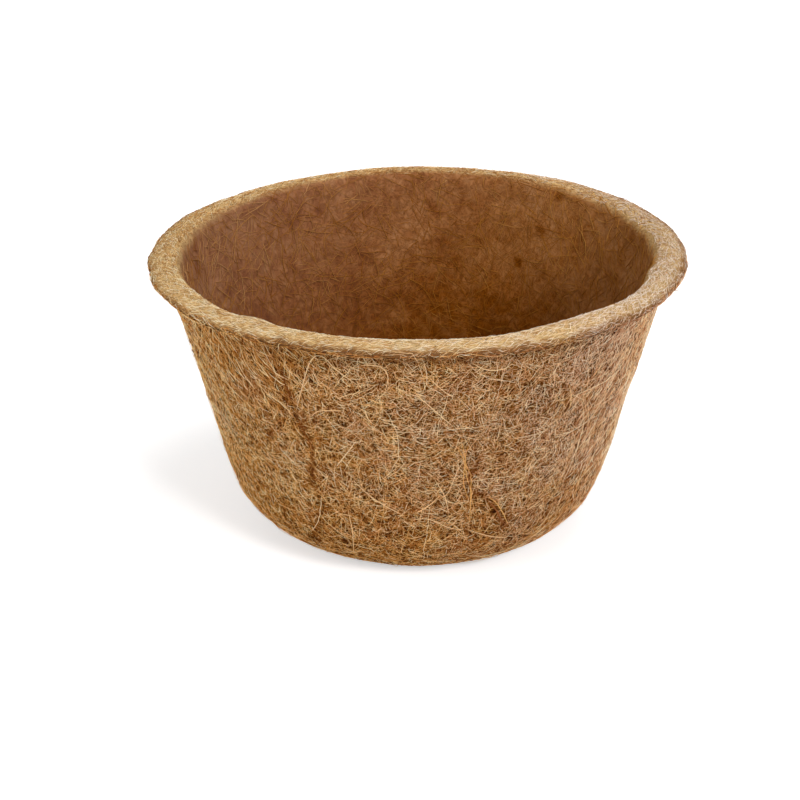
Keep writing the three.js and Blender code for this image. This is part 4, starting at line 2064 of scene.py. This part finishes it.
@dataclass
class CoirPot:
    """The pot: two plies of felt gores, a disc in each and the strands over them."""

    studio: Studio
    form_turns: int = 640
    form_step: float = 0.75 * MM
    felt_step: float = 1.5 * MM
    lip_outside: float = 0.8 * MM
    lip_inside: float = 9.5 * MM
    # How much darker strands get round the lip's edge and down its inside: partly their own browner fibre,
    # partly painted shade
    edge_fade: float = 0.2
    inside_fade: float = 0.3

    def __post_init__(self) -> None:
        """Work out the pot's shape."""
        self.sizes = PotSizes(rim_radius=CAD_BOX[1].x, height=CAD_BOX[1].z)
        self.profile = Profile(self.sizes)
        self.warp = Warp(self.sizes)
        self._trace_marks()
        self._trace_unseen_seams()
        self.form = self._form()
        self.mat = StrandMat(self.form)
        face, back = self.profile.outer_face(), self.profile.outer_back()
        self.outer = Ply("outer", self.sizes, face, back, 0.0, self.felt_step, seamless=False)
        face, back = self.profile.inner_face(), self.profile.inner_back()
        self.inner = Ply("inner", self.sizes, face, back, 0.5, self.felt_step, seamless=True)

    def _form_sides(self) -> tuple[np.ndarray, np.ndarray]:
        """True points of the whole outside and of the whole inside, which meet at the lip's edge."""
        outer, inner = self.profile.outer_face(), self.profile.inner_face()[::-1]
        outer = np.concatenate(([(MM, 0.0)], outer))
        inner = np.concatenate((inner, [(MM, self.sizes.wall)]))
        outer = evenly(outer, round(length_of(outer) / self.form_step))
        inner = evenly(inner, round(length_of(inner) / self.form_step))[1:]
        azimuths = np.linspace(0.0, FULL_TURN, self.form_turns, endpoint=False)
        return turned(outer, azimuths), turned(inner, azimuths)

    def _form_grid(self) -> tuple[np.ndarray, Faces]:
        """The whole surface, outside, lip and inside, as points and faces."""
        outside, inside = self._form_sides()
        points = np.concatenate((self.warp.moved(outside, 1.0), self.warp.moved(inside, 0.0)), axis=1)
        faces = grid_faces(points.shape[0], points.shape[1], closed=True)
        return points.reshape(-1, 3), faces

    def _form(self) -> bpy.types.Object:
        """The surface that strands are laid on, which isn't part of the pot."""
        points, faces = self._form_grid()
        form = mesh_object("form", points, faces)
        set_attribute(form, "shade", self.warp.shade(points) + self._fade())
        form.data.shade_smooth()
        return form

    def _fade(self) -> np.ndarray:
        """How much darker strands get over the lip's edge and down its inside, at the form's points: partly
        the browner fibre there, partly painted shade.
        """
        outside, inside = (Lay(self.sizes, points) for points in self._form_sides())
        inner_fade = self.edge_fade * inside.edge() + self.inside_fade * inside.within()
        return np.concatenate((self.edge_fade * outside.edge(), inner_fade), axis=1).ravel()

    def _surface(self) -> BVHTree:
        """The whole surface, for finding where a ray meets it."""
        points, faces = self._form_grid()
        return BVHTree.FromPolygons(points.tolist(), faces)

    def _trace_marks(self) -> None:
        """Find where the photograph's creases and stains lie on the pot."""
        surface = self._surface()
        for crease in CREASES:
            route = evenly(np.array(crease.pixels), CREASE_POINTS)
            hits = [self.studio.cast(surface, pixel)[0] for pixel in route]
            self.warp.creases.append((crease, np.array([tuple(hit) for hit in hits if hit is not None])))
        for stain in STAINS:
            self.warp.stains.append((stain, np.array(self.studio.cast(surface, stain.pixel)[0])))

    def _trace_unseen_seams(self) -> None:
        """Run the seams that the photograph doesn't show up the pot's other sides."""
        path = evenly(self.profile.outer_face(), CREASE_POINTS)
        for number in UNSEEN_SEAMS:
            azimuth = np.array([FULL_TURN * (number + 0.5) / self.sizes.gore_count])
            line = turned(path, azimuth)[0]
            round_the_pot = np.array((-line[-1, 1], line[-1, 0], 0.0))
            line = line + SEAM_DRIFT.at(line)[:, None] * round_the_pot / self.sizes.rim_radius
            self.warp.creases.append((UNSEEN_CREASE, line))

    def build(self) -> None:
        """Make and dress every piece."""
        self._felts()
        self._strands()
        bpy.data.objects.remove(self.form)

    def _felts(self) -> None:
        """Make the felt."""
        sizes = self.sizes
        outer_felt, inner_felt = OUTER_FELT.material(), INNER_FELT.material()
        for index in range(sizes.gore_count):
            piece = self.outer.felt(index, self.warp, 1.0, outer_felt)
            settle(piece, Slot.OUTER, f"outer_gore_{index + 1}")
        base = Disc("base", sizes.outer_start - sizes.bond, 0.0, sizes.felt)
        settle(base.felt(self.warp, outer_felt), Slot.BASE, "base_disc")
        for index in range(sizes.gore_count):
            piece = self.inner.felt(index, self.warp, 0.0, inner_felt)
            settle(piece, Slot.INNER, f"inner_gore_{index + 1}")
        floor = Disc("floor", sizes.inner_start - sizes.bond, sizes.felt + sizes.bond, sizes.wall)
        settle(floor.felt(self.warp, inner_felt), Slot.INNER, "floor_disc")

    def _patch(self, name: str, path: np.ndarray, azimuths: np.ndarray, side: Side) -> bpy.types.Object:
        """The bare stretch of the surface that strands are rooted on.

        Args:
            name: What the strands will be called.
            path: Radius and height along it.
            azimuths: Angles across it.
            side: Which side of the pot it is on.

        Returns:
            The patch, with the attributes that the strand tree reads.
        """
        true_points = turned(path, azimuths)
        points = self.warp.moved(true_points, 1.0 if side is Side.OUTSIDE else 0.0)
        lay = Lay(self.sizes, true_points)
        values = {"coarse": lay.coarse()}
        if side is Side.OUTSIDE:
            values.update(lay.outside_strands(), cover=self.warp.cover(points))
        elif side is Side.LIP:
            values.update(lay.lip_strands())
        else:
            values.update(lay.inside_strands())
        patch = mesh_object(name, points.reshape(-1, 3), grid_faces(len(azimuths), len(path)))
        for label, numbers in values.items():
            set_attribute(patch, label, numbers.ravel())
        return patch

    def _strands(self) -> None:
        """Lay the strands over the outside, the lip, the inside and the discs."""
        sizes = self.sizes
        finishes = {finish: finish.material() for finish in (OUTER_STRANDS, LIP_STRANDS, INNER_STRANDS)}

        def lay(cover: Cover, name: str, path: np.ndarray, azimuths: np.ndarray, index: int = 0) -> None:
            """Lay one mat over one stretch of the pot."""
            patch = self._patch(name, path, azimuths, cover.side)
            strands = self.mat.laid(patch, cover.sizes, finishes[cover.finish], cover.seed + index)
            settle(strands, cover.slot)

        lip_path = self.profile.lip(self.lip_outside, self.lip_inside)
        lip_path = evenly(lip_path, round(length_of(lip_path) / self.felt_step))
        beds = {
            Side.OUTSIDE: (self.outer, self.outer.face),
            Side.LIP: (self.outer, lip_path),
            Side.INSIDE: (self.inner, self.inner.face),
        }
        for index in range(sizes.gore_count):
            for cover in GORE_COVERS:
                ply, path = beds[cover.side]
                lay(cover, f"{cover.name}_{index + 1}", path, ply.azimuths(index), index)
        around = np.linspace(0.0, FULL_TURN, Disc.SPOKES + 1)
        base_path = np.array([(MM, 0.0), (sizes.outer_start, 0.0)])
        lay(BASE_COVER, BASE_COVER.name, evenly(base_path, Disc.RINGS), around)
        floor_path = np.array([(MM, sizes.wall), (sizes.inner_start, sizes.wall)])
        lay(FLOOR_COVER, FLOOR_COVER.name, evenly(floor_path, Disc.RINGS), around)
        long_strands = LongStrands(self._surface(), self.studio)
        settle(long_strands.laid("long_strands", LONG_STRANDS, finishes[OUTER_STRANDS]), Slot.OUTER)


def main() -> None:
    """Build the studio and the pot."""
    logging.basicConfig(level=logging.INFO, format="%(name)s %(message)s")
    studio = Studio()
    studio.build()
    CoirPot(studio).build()


if __name__ == "__main__":
    main()
